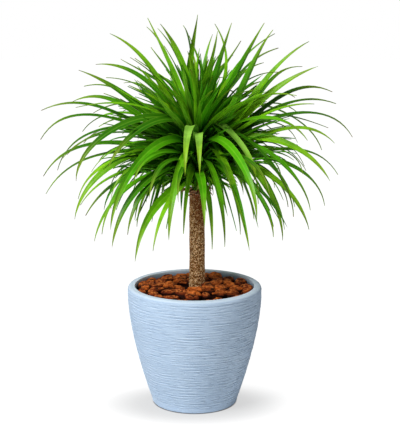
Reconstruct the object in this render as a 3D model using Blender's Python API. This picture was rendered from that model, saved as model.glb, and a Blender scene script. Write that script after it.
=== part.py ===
"""A potted dragon tree: clay pot, soil, bark mulch, bare trunk and a domed head of strap leaves.

Run it with: blender --background --python part.py
Units are metres with +Z up. The origin is the middle of the pot's flat base, and -Y is the front.
"""

import math
import random
from typing import NamedTuple

import bmesh
import bpy
from mathutils import Vector

# Pot: a turned clay wall that swells towards a rolled lip
POT_HEIGHT = 0.274
POT_BASE_RADIUS = 0.0955
POT_BELLY_RADIUS = 0.1520
POT_BELLY_HEIGHT = 0.249
POT_SWELL = 1.55
POT_WALL = 0.008
POT_FLOOR = 0.010
POT_FOOT_ROUND = 0.006
LIP_INNER_RADIUS = 0.134
LIP_OUTER_ROUND = 0.009
LIP_INNER_ROUND = 0.003
POT_SIDES = 48

# Soil and mulch inside the pot
GAP = 0.0003
CUT_MARGIN = 0.01
SOIL_TOP = 0.249
MULCH_AT_WALL = 0.258
MULCH_AT_TRUNK = 0.274
CHIP_COUNT = 54
CHIP_LENGTH = (0.028, 0.044)
CHIP_SLIMNESS = (0.55, 0.80)
CHIP_THICKNESS = (0.012, 0.016)
CHIP_LIFT = (-0.001, 0.003)
CHIP_PITCH, CHIP_LEAN, CHIP_SWAY = 0.12, 0.18, 0.3  # slopes along and across it, and turn in radians
CHIP_RINGS = ((-0.5, 0.85), (0.1, 1.0), (0.5, 0.60))  # level and spread of each ring of points
CHIP_SIDES = 6
CHIP_ROOM = (0.025, 0.86)  # share of the pot's opening, from the trunk out to the wall
CHIP_TRIES = 30
WALL_BAND = 0.100  # chips that lie further out than this follow the wall
CHIP_SEED = 5

# Trunk: it stands a little to the right of the pot's middle
TRUNK_X = 0.0055
TRUNK_FOOT = 0.145
TRUNK_TOP = 0.495
TRUNK_FOOT_RADIUS = 0.0186
TRUNK_RADIUS = 0.0175
TRUNK_FLARE_TOP = 0.330
TRUNK_LUMP = 0.0005
TRUNK_LOBES = ((3, 41.0), (2, -97.0))  # lobes round the trunk, and how fast they turn with height
TRUNK_SIDES = 18
TRUNK_RINGS = 11
STUB_COUNT = 10
STUB_LENGTH = 0.019
STUB_WIDTH = 0.010
STUB_THICKNESS = 0.0026
STUB_STATIONS = ((0.0, 1.0, 0.0), (0.55, 0.85, 0.15), (1.0, 0.35, 0.05))  # way out, width, lift
STUB_DROP = 0.006
STUB_STEP = 0.004
STUB_BITE = 0.004

# Growing tip: the green stem that every leaf grows from
TIP_STEM_RADIUS = 0.0165
TIP_STEM_SIDES = 10
TIP_STEM_RINGS = ((0.575, 0.96), (0.612, 0.84), (0.630, 0.55), (0.638, 0.18))  # height, radius share

# Leaves
LEAF_WIDTH = 0.0210
LEAF_DEPTH = 0.0016
LEAF_ROOT_SHARE = 0.22
LEAF_BROAD_FROM = 0.45
LEAF_TAPER = 2.4
LEAF_POINT = 0.9
LEAF_ROOT_OUT = 0.009
LEAF_ROOT_LOW = 0.512
LEAF_ROOT_HIGH = 0.622
ROOT_WAVE, ROOT_WAVES = 0.008, 7  # height that roots rise and sink by, and how many times round the stem
RISE_OF_LOWEST = -25.0
RISE_OF_HIGHEST = 85.0
ROOT_HANDLE = 0.42
TIP_HANDLE = 0.36
LEAF_STATIONS = (0.0, 0.17, 0.34, 0.52, 0.70, 0.87)
DOME_CENTRE = 0.582
DOME_REACH = 0.350
DOME_TOP = 0.290
DOME_LOW = 0.215

# Leaves that fill the head: each ends at a climb angle above or below the middle of the dome
CLIMB_RANGE = (-60, 84)
SIZE_RANGE = (0.62, 0.90)
BREADTH_RANGE = (0.54, 0.82)
RISE_LEVEL, RISE_BY_CLIMB, RISE_SPREAD = 38.0, 0.62, 10.0
FALL_LEVEL, FALL_BY_CLIMB, FALL_SPREAD = 48.0, -1.25, 15.0
RISE_LIMITS = (-20.0, 85.0)
FALL_LIMITS = (-70.0, 88.0)
TURN_SPREAD = 30.0
BOW_SPREAD = 8.0
FRONT_SECTOR = (208, 332)
FRONT_BARE = (-14, 48)  # no leaf ends between these climbs at the front: it stands upright instead
FRONT_LIFT = 0.5
FILL_COUNT = 92
FILL_TRIES = 24
LEAF_SEED = 11


class Leaf(NamedTuple):
    """One leaf in its own upright plane through the trunk: millimetres and degrees."""

    azimuth: float  # 0 is the right, 90 the back, 180 the left and 270 the front
    reach: float  # from the trunk's axis out to the tip
    tip: float  # height of the tip
    rise: float  # upward slope where it leaves the stem
    fall: float  # downward slope at the tip
    turn: float  # roll of the blade about its midline
    bow: float = 0.0  # sideways bend at the middle
    breadth: float = 1.0  # width as a share of LEAF_WIDTH


# Leaves that draw the outline of the head, chosen one by one
UPRIGHT_LEAVES = (
    Leaf(180, -2, 880, 80, -100, -60),
    Leaf(184, 190, 840, 60, -25, -45),
    Leaf(150, 200, 775, 80, -25, 0),
    Leaf(195, 110, 875, 80, -65, 30),
    Leaf(150, 130, 850, 60, -35, 0),
    Leaf(225, 110, 865, 85, -45, 15),
    Leaf(135, 125, 845, 85, -35, 20),
    Leaf(120, 215, 795, 65, -30, 35),
    Leaf(100, 185, 845, 85, -5, 60),
    Leaf(0, -18, 835, 75, -115, 30),
    Leaf(0, 38, 860, 65, -125, 25),
    Leaf(285, 165, 855, 85, -65, 30),
    Leaf(300, 145, 870, 70, -60, 0),
    Leaf(50, 155, 815, 80, -45, -25),
    Leaf(345, 150, 865, 65, -60, -40),
    Leaf(325, 195, 855, 40, -50, -35),
    Leaf(20, 185, 835, 65, -25, 0),
    Leaf(12, 185, 805, 60, -15, 10),
)
LEFT_LEAVES = (
    Leaf(181, 260, 760, 40, -20, -55),
    Leaf(175, 225, 770, 60, 5, -35),
    Leaf(172, 255, 720, 35, 15, -10),
    Leaf(140, 180, 725, 45, -20, 20),
    Leaf(160, 225, 700, 35, -15, 0),
    Leaf(190, 275, 695, 35, 25, -40),
    Leaf(180, 345, 670, 30, 25, -20),
    Leaf(168, 265, 615, 45, 55, -10),
    Leaf(186, 345, 610, 35, 60, -15),
    Leaf(222, 250, 572, 66, 62, -35),
    Leaf(152, 300, 575, 25, 50, -5),
    Leaf(212, 300, 540, 65, 90, -40),
    Leaf(148, 270, 535, 15, 50, -5),
    Leaf(178, 345, 520, 20, 60, -25),
    Leaf(160, 345, 515, 35, 75, -20),
    Leaf(196, 270, 485, 25, 75, -20),
    Leaf(174, 345, 475, 15, 60, -15),
    Leaf(200, 270, 475, 10, 55, -10),
    Leaf(205, 290, 450, 30, 80, -45),
    Leaf(188, 250, 440, 10, 60, -20),
    Leaf(222, 270, 430, 25, 80, 0),
    Leaf(212, 155, 425, 20, 85, 0),
    Leaf(228, 220, 425, 10, 80, 0),
    Leaf(216, 270, 410, 5, 75, -5),
    Leaf(224, 250, 400, 10, 80, -20),
)
RIGHT_LEAVES = (
    Leaf(352, 245, 825, 40, -30, 50),
    Leaf(355, 265, 770, 40, -20, 60),
    Leaf(18, 250, 760, 20, 5, 20),
    Leaf(2, 300, 710, 30, 25, 25),
    Leaf(342, 265, 695, 35, 0, 25),
    Leaf(28, 255, 685, 0, 35, -20),
    Leaf(8, 315, 680, 30, 20, 15),
    Leaf(328, 275, 625, 45, 50, 20),
    Leaf(0, 345, 610, 35, 60, 15),
    Leaf(350, 305, 605, 25, 45, 30),
    Leaf(25, 320, 560, 75, 70, 10),
    Leaf(340, 305, 530, 40, 60, 45),
    Leaf(6, 320, 520, 10, 60, 10),
    Leaf(30, 290, 520, 40, 65, 15),
    Leaf(338, 265, 465, 45, 80, 15),
    Leaf(355, 285, 460, 20, 80, 20),
    Leaf(330, 240, 455, 60, 90, 0),
    Leaf(10, 210, 445, 15, 85, 20),
    Leaf(315, 230, 420, 10, 85, 0),
    Leaf(345, 255, 415, 20, 75, 30),
    Leaf(325, 225, 405, 30, 90, 15),
)
FRONT_LEAVES = (
    Leaf(266, 330, 580, 45, 90, 0, 0, 1.05),
    Leaf(271, 325, 580, 35, 90, 0, 0, 1.05),
    Leaf(320, 158, 528, 85, 118, 15),
    Leaf(294, 300, 480, 50, 90, 30),
    Leaf(273, 300, 470, 0, 75, 0),
    Leaf(310, 190, 455, 85, 80, -20),
    Leaf(232, 290, 450, 46, 85, -50),
    Leaf(262, 200, 435, 15, 85, -60),
    Leaf(255, 225, 425, 35, 90, -10),
    Leaf(276, 300, 425, 0, 85, -40),
    Leaf(300, 185, 425, 60, 90, -20),
    Leaf(284, 240, 415, 25, 90, -25),
    Leaf(250, 265, 410, -5, 65, 20),
    Leaf(296, 250, 405, 45, 70, 0),
    Leaf(244, 290, 390, -5, 75, -40),
)
CHOSEN_LEAVES = UPRIGHT_LEAVES + LEFT_LEAVES + RIGHT_LEAVES + FRONT_LEAVES


def clear_scene():
    """Remove every object that is already in the file."""
    for obj in list(bpy.data.objects):
        bpy.data.objects.remove(obj, do_unlink=True)


def make_finish(name, colour, roughness):
    """Return a Principled material with this name, colour and roughness."""
    finish = bpy.data.materials.new(name)
    finish.use_nodes = True
    shader = finish.node_tree.nodes["Principled BSDF"]
    shader.inputs["Base Color"].default_value = (*colour, 1.0)
    shader.inputs["Roughness"].default_value = roughness
    shader.inputs["Metallic"].default_value = 0.0
    finish.diffuse_color = (*colour, 1.0)
    return finish


def add_object(name, shape, finish=None, sharp_angle=40.0):
    """Turn a bmesh into a smooth-shaded object with its faces pointing out."""
    bmesh.ops.recalc_face_normals(shape, faces=shape.faces)
    mesh = bpy.data.meshes.new(name)
    shape.to_mesh(mesh)
    shape.free()
    mesh.shade_smooth()
    mesh.set_sharp_from_angle(angle=math.radians(sharp_angle))
    if finish:
        mesh.materials.append(finish)
    obj = bpy.data.objects.new(name, mesh)
    bpy.context.scene.collection.objects.link(obj)
    return obj


def turned(profile, sides):
    """Spin a profile of (radius, height) points, which starts and ends on the axis, round Z."""
    shape = bmesh.new()
    points = [shape.verts.new((radius, 0.0, height)) for radius, height in profile]
    edges = [shape.edges.new(pair) for pair in zip(points, points[1:])]
    bmesh.ops.spin(
        shape,
        geom=points + edges,
        cent=(0, 0, 0),
        axis=(0, 0, 1),
        angle=math.tau,
        steps=sides,
        use_merge=True,
    )
    bmesh.ops.remove_doubles(shape, verts=shape.verts, dist=0.00001)
    return shape


def stack_rings(rings):
    """Join rings of equally many points into a closed tube, with a flat cap at each end."""
    shape = bmesh.new()
    loops = [[shape.verts.new(point) for point in ring] for ring in rings]
    for low, high in zip(loops, loops[1:]):
        for k in range(len(low)):
            j = (k + 1) % len(low)
            shape.faces.new((low[k], low[j], high[j], high[k]))
    shape.faces.new(loops[0][::-1])
    shape.faces.new(loops[-1])
    return shape


def circle(radius, height, sides, centre_x=0.0):
    """Return the points of one ring round an upright axis at centre_x."""
    return [
        Vector(
            (
                centre_x + radius * math.cos(math.tau * k / sides),
                radius * math.sin(math.tau * k / sides),
                height,
            )
        )
        for k in range(sides)
    ]


def arc(centre, radius, start, end, steps):
    """Return (radius, height) points along an arc, from start to end in degrees."""
    angles = [
        math.radians(start + (end - start) * k / steps) for k in range(steps + 1)
    ]
    return [
        (centre[0] + radius * math.cos(a), centre[1] + radius * math.sin(a))
        for a in angles
    ]


def combine(base, others, operation, solver="EXACT"):
    """Join objects to base, or cut them from it, with one applied Boolean, then remove them."""
    group = bpy.data.collections.new("boolean_group")
    bpy.context.scene.collection.children.link(group)
    for obj in others:
        bpy.context.scene.collection.objects.unlink(obj)
        group.objects.link(obj)
    modifier = base.modifiers.new("combine", "BOOLEAN")
    modifier.operation = operation
    modifier.operand_type = "COLLECTION"
    modifier.collection = group
    modifier.solver = solver
    graph = bpy.context.evaluated_depsgraph_get()
    mesh = bpy.data.meshes.new_from_object(base.evaluated_get(graph))
    base.modifiers.clear()
    base.data = mesh
    for obj in others:
        bpy.data.objects.remove(obj, do_unlink=True)
    bpy.data.collections.remove(group)


def outer_radius(height):
    """Outside radius of the pot's wall at a height: a swelling curve that ends upright."""
    left = 1.0 - min(height / POT_BELLY_HEIGHT, 1.0)
    swell = 1.0 - left**POT_SWELL
    return POT_BASE_RADIUS + (POT_BELLY_RADIUS - POT_BASE_RADIUS) * swell


def inner_radius(height):
    """Inside radius of the pot's wall: it follows the outside, then runs straight up to the lip."""
    return min(outer_radius(height) - POT_WALL, LIP_INNER_RADIUS)


def inner_wall(low, high, inset, steps=4):
    """Return (radius, height) points up the inside of the pot, moved in by inset."""
    heights = [low + (high - low) * k / steps for k in range(steps + 1)]
    return [(inner_radius(z) - inset, z) for z in heights]


def make_pot(finish):
    """The pot: one turned shell with a flat base and a rolled lip."""
    foot = arc(
        (outer_radius(POT_FOOT_ROUND) - POT_FOOT_ROUND, POT_FOOT_ROUND),
        POT_FOOT_ROUND,
        -90,
        0,
        2,
    )
    wall = [
        (outer_radius(z), z)
        for z in (POT_BELLY_HEIGHT * k / 8 for k in range(1, 9))
    ]
    lip_outer = arc(
        (POT_BELLY_RADIUS - LIP_OUTER_ROUND, POT_HEIGHT - LIP_OUTER_ROUND),
        LIP_OUTER_ROUND,
        0,
        90,
        3,
    )
    lip_inner = arc(
        (LIP_INNER_RADIUS + LIP_INNER_ROUND, POT_HEIGHT - LIP_INNER_ROUND),
        LIP_INNER_ROUND,
        90,
        180,
        2,
    )
    inside = inner_wall(POT_FLOOR, SOIL_TOP, 0.0)[::-1]
    profile = (
        [(0, 0)] + foot + wall + lip_outer + lip_inner + inside + [(0, POT_FLOOR)]
    )
    return add_object("pot", turned(profile, POT_SIDES), finish, 50.0)


def trunk_hole(low, high):
    """A cutter for the plain hole that the trunk stands in."""
    rings = [
        circle(TRUNK_FOOT_RADIUS + GAP, z, TRUNK_SIDES, TRUNK_X) for z in (low, high)
    ]
    cutter = add_object("trunk_hole", stack_rings(rings))
    cutter.hide_render = True
    cutter.display_type = "WIRE"
    return cutter


def make_soil(finish):
    """The soil: it fills the pot up to the mulch, with a hole for the trunk."""
    side = inner_wall(POT_FLOOR, SOIL_TOP, GAP)
    low = (inner_radius(POT_FLOOR) - GAP, POT_FLOOR + GAP)
    profile = [(0, POT_FLOOR + GAP), low] + side[1:] + [(0, SOIL_TOP)]
    soil = add_object("soil", turned(profile, POT_SIDES), finish)
    combine(soil, [trunk_hole(TRUNK_FOOT - GAP, SOIL_TOP + CUT_MARGIN)], "DIFFERENCE")
    return soil


def mulch_height(radius):
    """Height of the mulch between its chips: a low mound, highest round the trunk."""
    share = min(radius / LIP_INNER_RADIUS, 1.0)
    return MULCH_AT_TRUNK + (MULCH_AT_WALL - MULCH_AT_TRUNK) * share**2


def spread_chips(draw):
    """Choose the middle and heading of each chip, so that they cover the ring evenly."""
    limit = LIP_INNER_RADIUS - GAP
    spots = []
    for _ in range(CHIP_COUNT):
        best, best_room = None, -1.0
        for _ in range(CHIP_TRIES):
            radius = limit * math.sqrt(draw.uniform(*CHIP_ROOM))
            angle = draw.uniform(0, math.tau)
            spot = Vector((radius * math.cos(angle), radius * math.sin(angle)))
            room = min(((spot - other).length for other, _ in spots), default=1.0)
            if room > best_room:
                best, best_room = (spot, angle), room
        spots.append(best)
    return spots


def chip(spot, angle, draw, finish):
    """One bark nugget: a flat chunk with a bevelled top that keeps inside the pot's wall."""
    length = draw.uniform(*CHIP_LENGTH)
    width = length * draw.uniform(*CHIP_SLIMNESS)
    thickness = draw.uniform(*CHIP_THICKNESS)
    heading = draw.uniform(0, math.pi)
    if spot.length > WALL_BAND:
        heading = angle + math.pi / 2 + draw.uniform(-CHIP_SWAY, CHIP_SWAY)
    c, s = math.cos(heading), math.sin(heading)
    along = Vector((c, s, draw.uniform(-CHIP_PITCH, CHIP_PITCH)))
    across = Vector((-s, c, draw.uniform(-CHIP_LEAN, CHIP_LEAN)))
    middle = Vector((spot.x, spot.y, mulch_height(spot.length) + draw.uniform(*CHIP_LIFT)))
    limit = LIP_INNER_RADIUS - 3 * GAP
    rings = []
    for level, spread in CHIP_RINGS:
        ring = []
        for k in range(CHIP_SIDES):
            turn = math.tau * k / CHIP_SIDES
            point = middle + Vector((0, 0, level * thickness))
            point += along * (0.5 * length * spread * math.cos(turn))
            point += across * (0.5 * width * spread * math.sin(turn))
            shrink = min(1.0, limit / math.hypot(point.x, point.y))
            height = max(point.z, SOIL_TOP + 4 * GAP)
            ring.append(Vector((point.x * shrink, point.y * shrink, height)))
        rings.append(ring)
    return add_object("chip", stack_rings(rings), finish)


def make_mulch(finish):
    """The mulch: a thin ring of bark with its nuggets joined on, and the trunk's hole cut last."""
    draw = random.Random(CHIP_SEED)
    edge = LIP_INNER_RADIUS - GAP
    profile = [(0, SOIL_TOP + GAP), (edge, SOIL_TOP + GAP)]
    profile += [(edge * share, mulch_height(edge * share)) for share in (1.0, 0.75, 0.45, 0.0)]
    mulch = add_object("bark_mulch", turned(profile, POT_SIDES), finish, 30.0)
    chips = [chip(spot, angle, draw, finish) for spot, angle in spread_chips(draw)]
    combine(mulch, chips, "UNION", "MANIFOLD")
    top = POT_HEIGHT + 2 * CUT_MARGIN
    combine(mulch, [trunk_hole(SOIL_TOP - CUT_MARGIN, top)], "DIFFERENCE")
    return mulch


def trunk_radius(height, angle):
    """Radius of the trunk: round in the soil, flared at its foot, and a little lumpy above."""
    flare = max(0.0, min(1.0, (TRUNK_FLARE_TOP - height) / (TRUNK_FLARE_TOP - POT_HEIGHT)))
    radius = TRUNK_RADIUS + (TRUNK_FOOT_RADIUS - TRUNK_RADIUS) * flare**1.5
    lump = sum(math.sin(lobes * angle + speed * height) for lobes, speed in TRUNK_LOBES)
    return radius + TRUNK_LUMP * lump * (1.0 - flare)


def stub(azimuth, height, finish):
    """A dried leaf base: a short tapered scale that curls out from the top of the trunk."""
    a = math.radians(azimuth)
    out = Vector((math.cos(a), math.sin(a), 0))
    side = Vector((-math.sin(a), math.cos(a), 0))
    root = Vector((TRUNK_X, 0, height)) + out * (TRUNK_RADIUS - STUB_BITE)
    rings = []
    for share, width, lift in STUB_STATIONS:
        middle = root + out * (STUB_LENGTH * share) + Vector((0, 0, STUB_LENGTH * lift))
        half = side * (0.5 * STUB_WIDTH * width)
        deep = Vector((0, 0, 0.5 * STUB_THICKNESS * (1.2 - 0.6 * share)))
        low, high = middle - deep, middle + deep
        rings.append([low - half, low + half, high + half, high - half])
    return add_object("stub", stack_rings(rings), finish)


def make_trunk(finish):
    """The trunk with the dried leaf bases joined round its top."""
    step = (TRUNK_TOP - POT_HEIGHT) / TRUNK_RINGS
    heights = [TRUNK_FOOT] + [POT_HEIGHT + step * k for k in range(TRUNK_RINGS + 1)]
    rings = []
    for z in heights:
        ring = circle(1.0, z, TRUNK_SIDES)
        for point in ring:
            radius = trunk_radius(z, math.atan2(point.y, point.x))
            point.x = TRUNK_X + point.x * radius
            point.y *= radius
        rings.append(ring)
    trunk = add_object("trunk", stack_rings(rings), finish)
    stubs = []
    for k in range(STUB_COUNT):
        row = k % 3
        azimuth = 360 * k / STUB_COUNT + 17 * row
        stubs.append(stub(azimuth, TRUNK_TOP - STUB_DROP - STUB_STEP * row, finish))
    combine(trunk, stubs, "UNION")
    return trunk


def leaf_curve(leaf):
    """The four control points, as (out, up), of the curve that a leaf's midline follows."""
    share = (leaf.rise - RISE_OF_LOWEST) / (RISE_OF_HIGHEST - RISE_OF_LOWEST)
    share = min(1.0, max(0.0, share))
    root_height = LEAF_ROOT_LOW + (LEAF_ROOT_HIGH - LEAF_ROOT_LOW) * share
    root_height += ROOT_WAVE * math.sin(ROOT_WAVES * math.radians(leaf.azimuth))
    root = Vector((LEAF_ROOT_OUT, root_height))
    tip = Vector((leaf.reach / 1000, leaf.tip / 1000))
    chord = (tip - root).length
    rise, fall = math.radians(leaf.rise), math.radians(leaf.fall)
    after_root = root + ROOT_HANDLE * chord * Vector((math.cos(rise), math.sin(rise)))
    before_tip = tip - TIP_HANDLE * chord * Vector((math.cos(fall), -math.sin(fall)))
    return root, after_root, before_tip, tip


def leaf_frame(leaf, t):
    """The midline's point at t from 0 to 1, with the blade's across and face directions there."""
    root, after_root, before_tip, tip = leaf_curve(leaf)
    u = 1.0 - t
    place = root * u**3 + after_root * (3 * u * u * t) + before_tip * (3 * u * t * t) + tip * t**3
    slope = (after_root - root) * (u * u) + (before_tip - after_root) * (2 * u * t)
    slope += (tip - before_tip) * (t * t)
    azimuth = math.radians(leaf.azimuth)
    out = Vector((math.cos(azimuth), math.sin(azimuth), 0))
    side = Vector((-math.sin(azimuth), math.cos(azimuth), 0))
    bow = leaf.bow / 1000 * 4 * t * u
    point = Vector((TRUNK_X, 0, place.y)) + out * place.x + side * bow
    along = (out * slope.x + Vector((0, 0, slope.y))).normalized()
    face = along.cross(side)
    c, s = math.cos(math.radians(leaf.turn)), math.sin(math.radians(leaf.turn))
    return point, side * c + face * s, face * c - side * s


def leaf_width(t):
    """Width of a blade at t as a share of its widest: slim root, broad middle, long fine tip."""
    growth = math.sin(0.5 * math.pi * min(t / LEAF_BROAD_FROM, 1.0))
    swell = LEAF_ROOT_SHARE + (1.0 - LEAF_ROOT_SHARE) * growth
    return swell * (1.0 - t**LEAF_TAPER) ** LEAF_POINT


def leaf_blade(leaf, finish):
    """One blade: two thin edges and a keel below, closed at its root and drawn to a point."""
    shape = bmesh.new()
    loops = []
    for t in LEAF_STATIONS:
        point, across, face = leaf_frame(leaf, t)
        half = 0.5 * LEAF_WIDTH * leaf.breadth * leaf_width(t)
        keel = LEAF_DEPTH * (1.0 - 0.5 * t)
        corners = (point - across * half, point - face * keel, point + across * half)
        loops.append([shape.verts.new(corner) for corner in corners])
    for low, high in zip(loops, loops[1:]):
        for k in range(3):
            j = (k + 1) % 3
            shape.faces.new((low[k], low[j], high[j]))
            shape.faces.new((low[k], high[j], high[k]))
    shape.faces.new(loops[0][::-1])
    end, _, face = leaf_frame(leaf, 1.0)
    point = shape.verts.new(end - face * (0.25 * LEAF_DEPTH))
    for k in range(3):
        shape.faces.new((loops[-1][k], loops[-1][(k + 1) % 3], point))
    return add_object("leaf", shape, finish)


def within(value, limits):
    """Hold a value between a low and a high limit."""
    return max(limits[0], min(limits[1], value))


def fill_leaf(draw):
    """A leaf that ends somewhere on the dome, with the slopes that leaves have there."""
    azimuth = draw.uniform(0, 360)
    climb = draw.uniform(*CLIMB_RANGE)
    if FRONT_SECTOR[0] < azimuth < FRONT_SECTOR[1] and FRONT_BARE[0] < climb < FRONT_BARE[1]:
        climb = FRONT_BARE[1] + FRONT_LIFT * (climb - FRONT_BARE[0])
    size = 1000 * draw.uniform(*SIZE_RANGE)
    depth = DOME_TOP if climb > 0 else DOME_LOW
    rise = RISE_LEVEL + RISE_BY_CLIMB * climb + draw.uniform(-RISE_SPREAD, RISE_SPREAD)
    fall = FALL_LEVEL + FALL_BY_CLIMB * climb + draw.uniform(-FALL_SPREAD, FALL_SPREAD)
    return Leaf(
        azimuth=azimuth,
        reach=size * DOME_REACH * math.cos(math.radians(climb)),
        tip=1000 * DOME_CENTRE + size * depth * math.sin(math.radians(climb)),
        rise=within(rise, RISE_LIMITS),
        fall=within(fall, FALL_LIMITS),
        turn=draw.uniform(-TURN_SPREAD, TURN_SPREAD),
        bow=draw.uniform(-BOW_SPREAD, BOW_SPREAD),
        breadth=draw.uniform(*BREADTH_RANGE),
    )


def tip_direction(leaf):
    """Unit vector from the middle of the dome towards a leaf's tip."""
    a = math.radians(leaf.azimuth)
    height = leaf.tip - 1000 * DOME_CENTRE
    return Vector((leaf.reach * math.cos(a), leaf.reach * math.sin(a), height)).normalized()


def all_leaves():
    """The chosen leaves, then seeded ones that each take the widest room left on the dome."""
    draw = random.Random(LEAF_SEED)
    leaves = list(CHOSEN_LEAVES)
    for _ in range(FILL_COUNT):
        tries = [fill_leaf(draw) for _ in range(FILL_TRIES)]
        taken = [tip_direction(leaf) for leaf in leaves]
        room = [min((tip_direction(leaf) - other).length for other in taken) for leaf in tries]
        leaves.append(tries[room.index(max(room))])
    return leaves


def make_leaf_crown(finish):
    """The head: a green growing tip with every blade joined on."""
    stem_rings = [
        circle(TIP_STEM_RADIUS * share, z, TIP_STEM_SIDES, TRUNK_X)
        for z, share in ((TRUNK_TOP + GAP, 1.0), *TIP_STEM_RINGS)
    ]
    crown = add_object("leaf_crown", stack_rings(stem_rings), finish)
    blades = [leaf_blade(leaf, finish) for leaf in all_leaves()]
    combine(crown, blades, "UNION", "MANIFOLD")
    return crown


def main():
    """Build every piece of the plant in its pot."""
    clear_scene()
    make_pot(make_finish("pale_blue_clay", (0.44, 0.58, 0.72), 0.55))
    make_soil(make_finish("dark_soil", (0.035, 0.022, 0.014), 0.95))
    make_mulch(make_finish("red_bark", (0.27, 0.085, 0.030), 0.80))
    make_trunk(make_finish("grey_brown_bark", (0.23, 0.145, 0.075), 0.90))
    make_leaf_crown(make_finish("green_leaf", (0.10, 0.32, 0.035), 0.42))


main()
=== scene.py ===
"""Looks of a potted dragon tree: clay pot, bark mulch, a bare trunk and a domed head of strap leaves.

Every size is in metres with +Z up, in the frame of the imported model, and -Y is the front.
"""

import logging
import math
import random
from dataclasses import dataclass
from enum import Enum
from typing import NamedTuple, Sequence, Union

import bpy
import numpy as np
from mathutils import Euler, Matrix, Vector, noise


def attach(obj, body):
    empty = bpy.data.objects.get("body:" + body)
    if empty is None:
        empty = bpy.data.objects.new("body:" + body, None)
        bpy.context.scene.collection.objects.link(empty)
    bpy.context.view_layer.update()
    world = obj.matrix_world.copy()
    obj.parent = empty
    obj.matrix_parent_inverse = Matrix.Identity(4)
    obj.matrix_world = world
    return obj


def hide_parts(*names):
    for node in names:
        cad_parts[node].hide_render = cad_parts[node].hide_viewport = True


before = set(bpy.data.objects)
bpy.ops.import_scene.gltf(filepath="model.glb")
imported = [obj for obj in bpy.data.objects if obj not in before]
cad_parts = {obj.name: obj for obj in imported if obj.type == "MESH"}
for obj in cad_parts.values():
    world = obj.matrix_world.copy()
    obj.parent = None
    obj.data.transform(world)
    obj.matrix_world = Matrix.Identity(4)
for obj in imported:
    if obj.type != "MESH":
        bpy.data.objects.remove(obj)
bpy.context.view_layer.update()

LOG = logging.getLogger("dragon_tree")
Colour = tuple[float, float, float]
Triple = tuple[float, float, float]
Feed = Union[bpy.types.NodeSocket, float, tuple]
BLACK, WHITE = (0.0, 0.0, 0.0), (1.0, 1.0, 1.0)
GOLDEN_TURN = 137.5  # degrees round the stem from one leaf to the next


# Sizes that several pieces share
POT_HEIGHT = 0.274
POT_BASE_RADIUS = 0.0955
POT_BELLY_RADIUS = 0.1520
POT_BELLY_HEIGHT = 0.249
POT_SWELL = 1.55
POT_WALL = 0.008
LIP_INNER_RADIUS = 0.134
SOIL_TOP = 0.249
GAP = 0.0003
TRUNK_X = 0.0055
TRUNK_TOP = 0.495
TRUNK_RADIUS = 0.0175
TRUNK_FOOT_RADIUS = 0.0186


def rgba(colour: Colour) -> tuple[float, float, float, float]:
    """Return a colour with full alpha, as a colour socket takes it."""
    return (*colour, 1.0)


def smooth(values: np.ndarray, low: float, high: float) -> np.ndarray:
    """Rise softly from 0 at low to 1 at high."""
    share = np.clip((values - low) / (high - low), 0.0, 1.0)
    return share * share * (3.0 - 2.0 * share)


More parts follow.
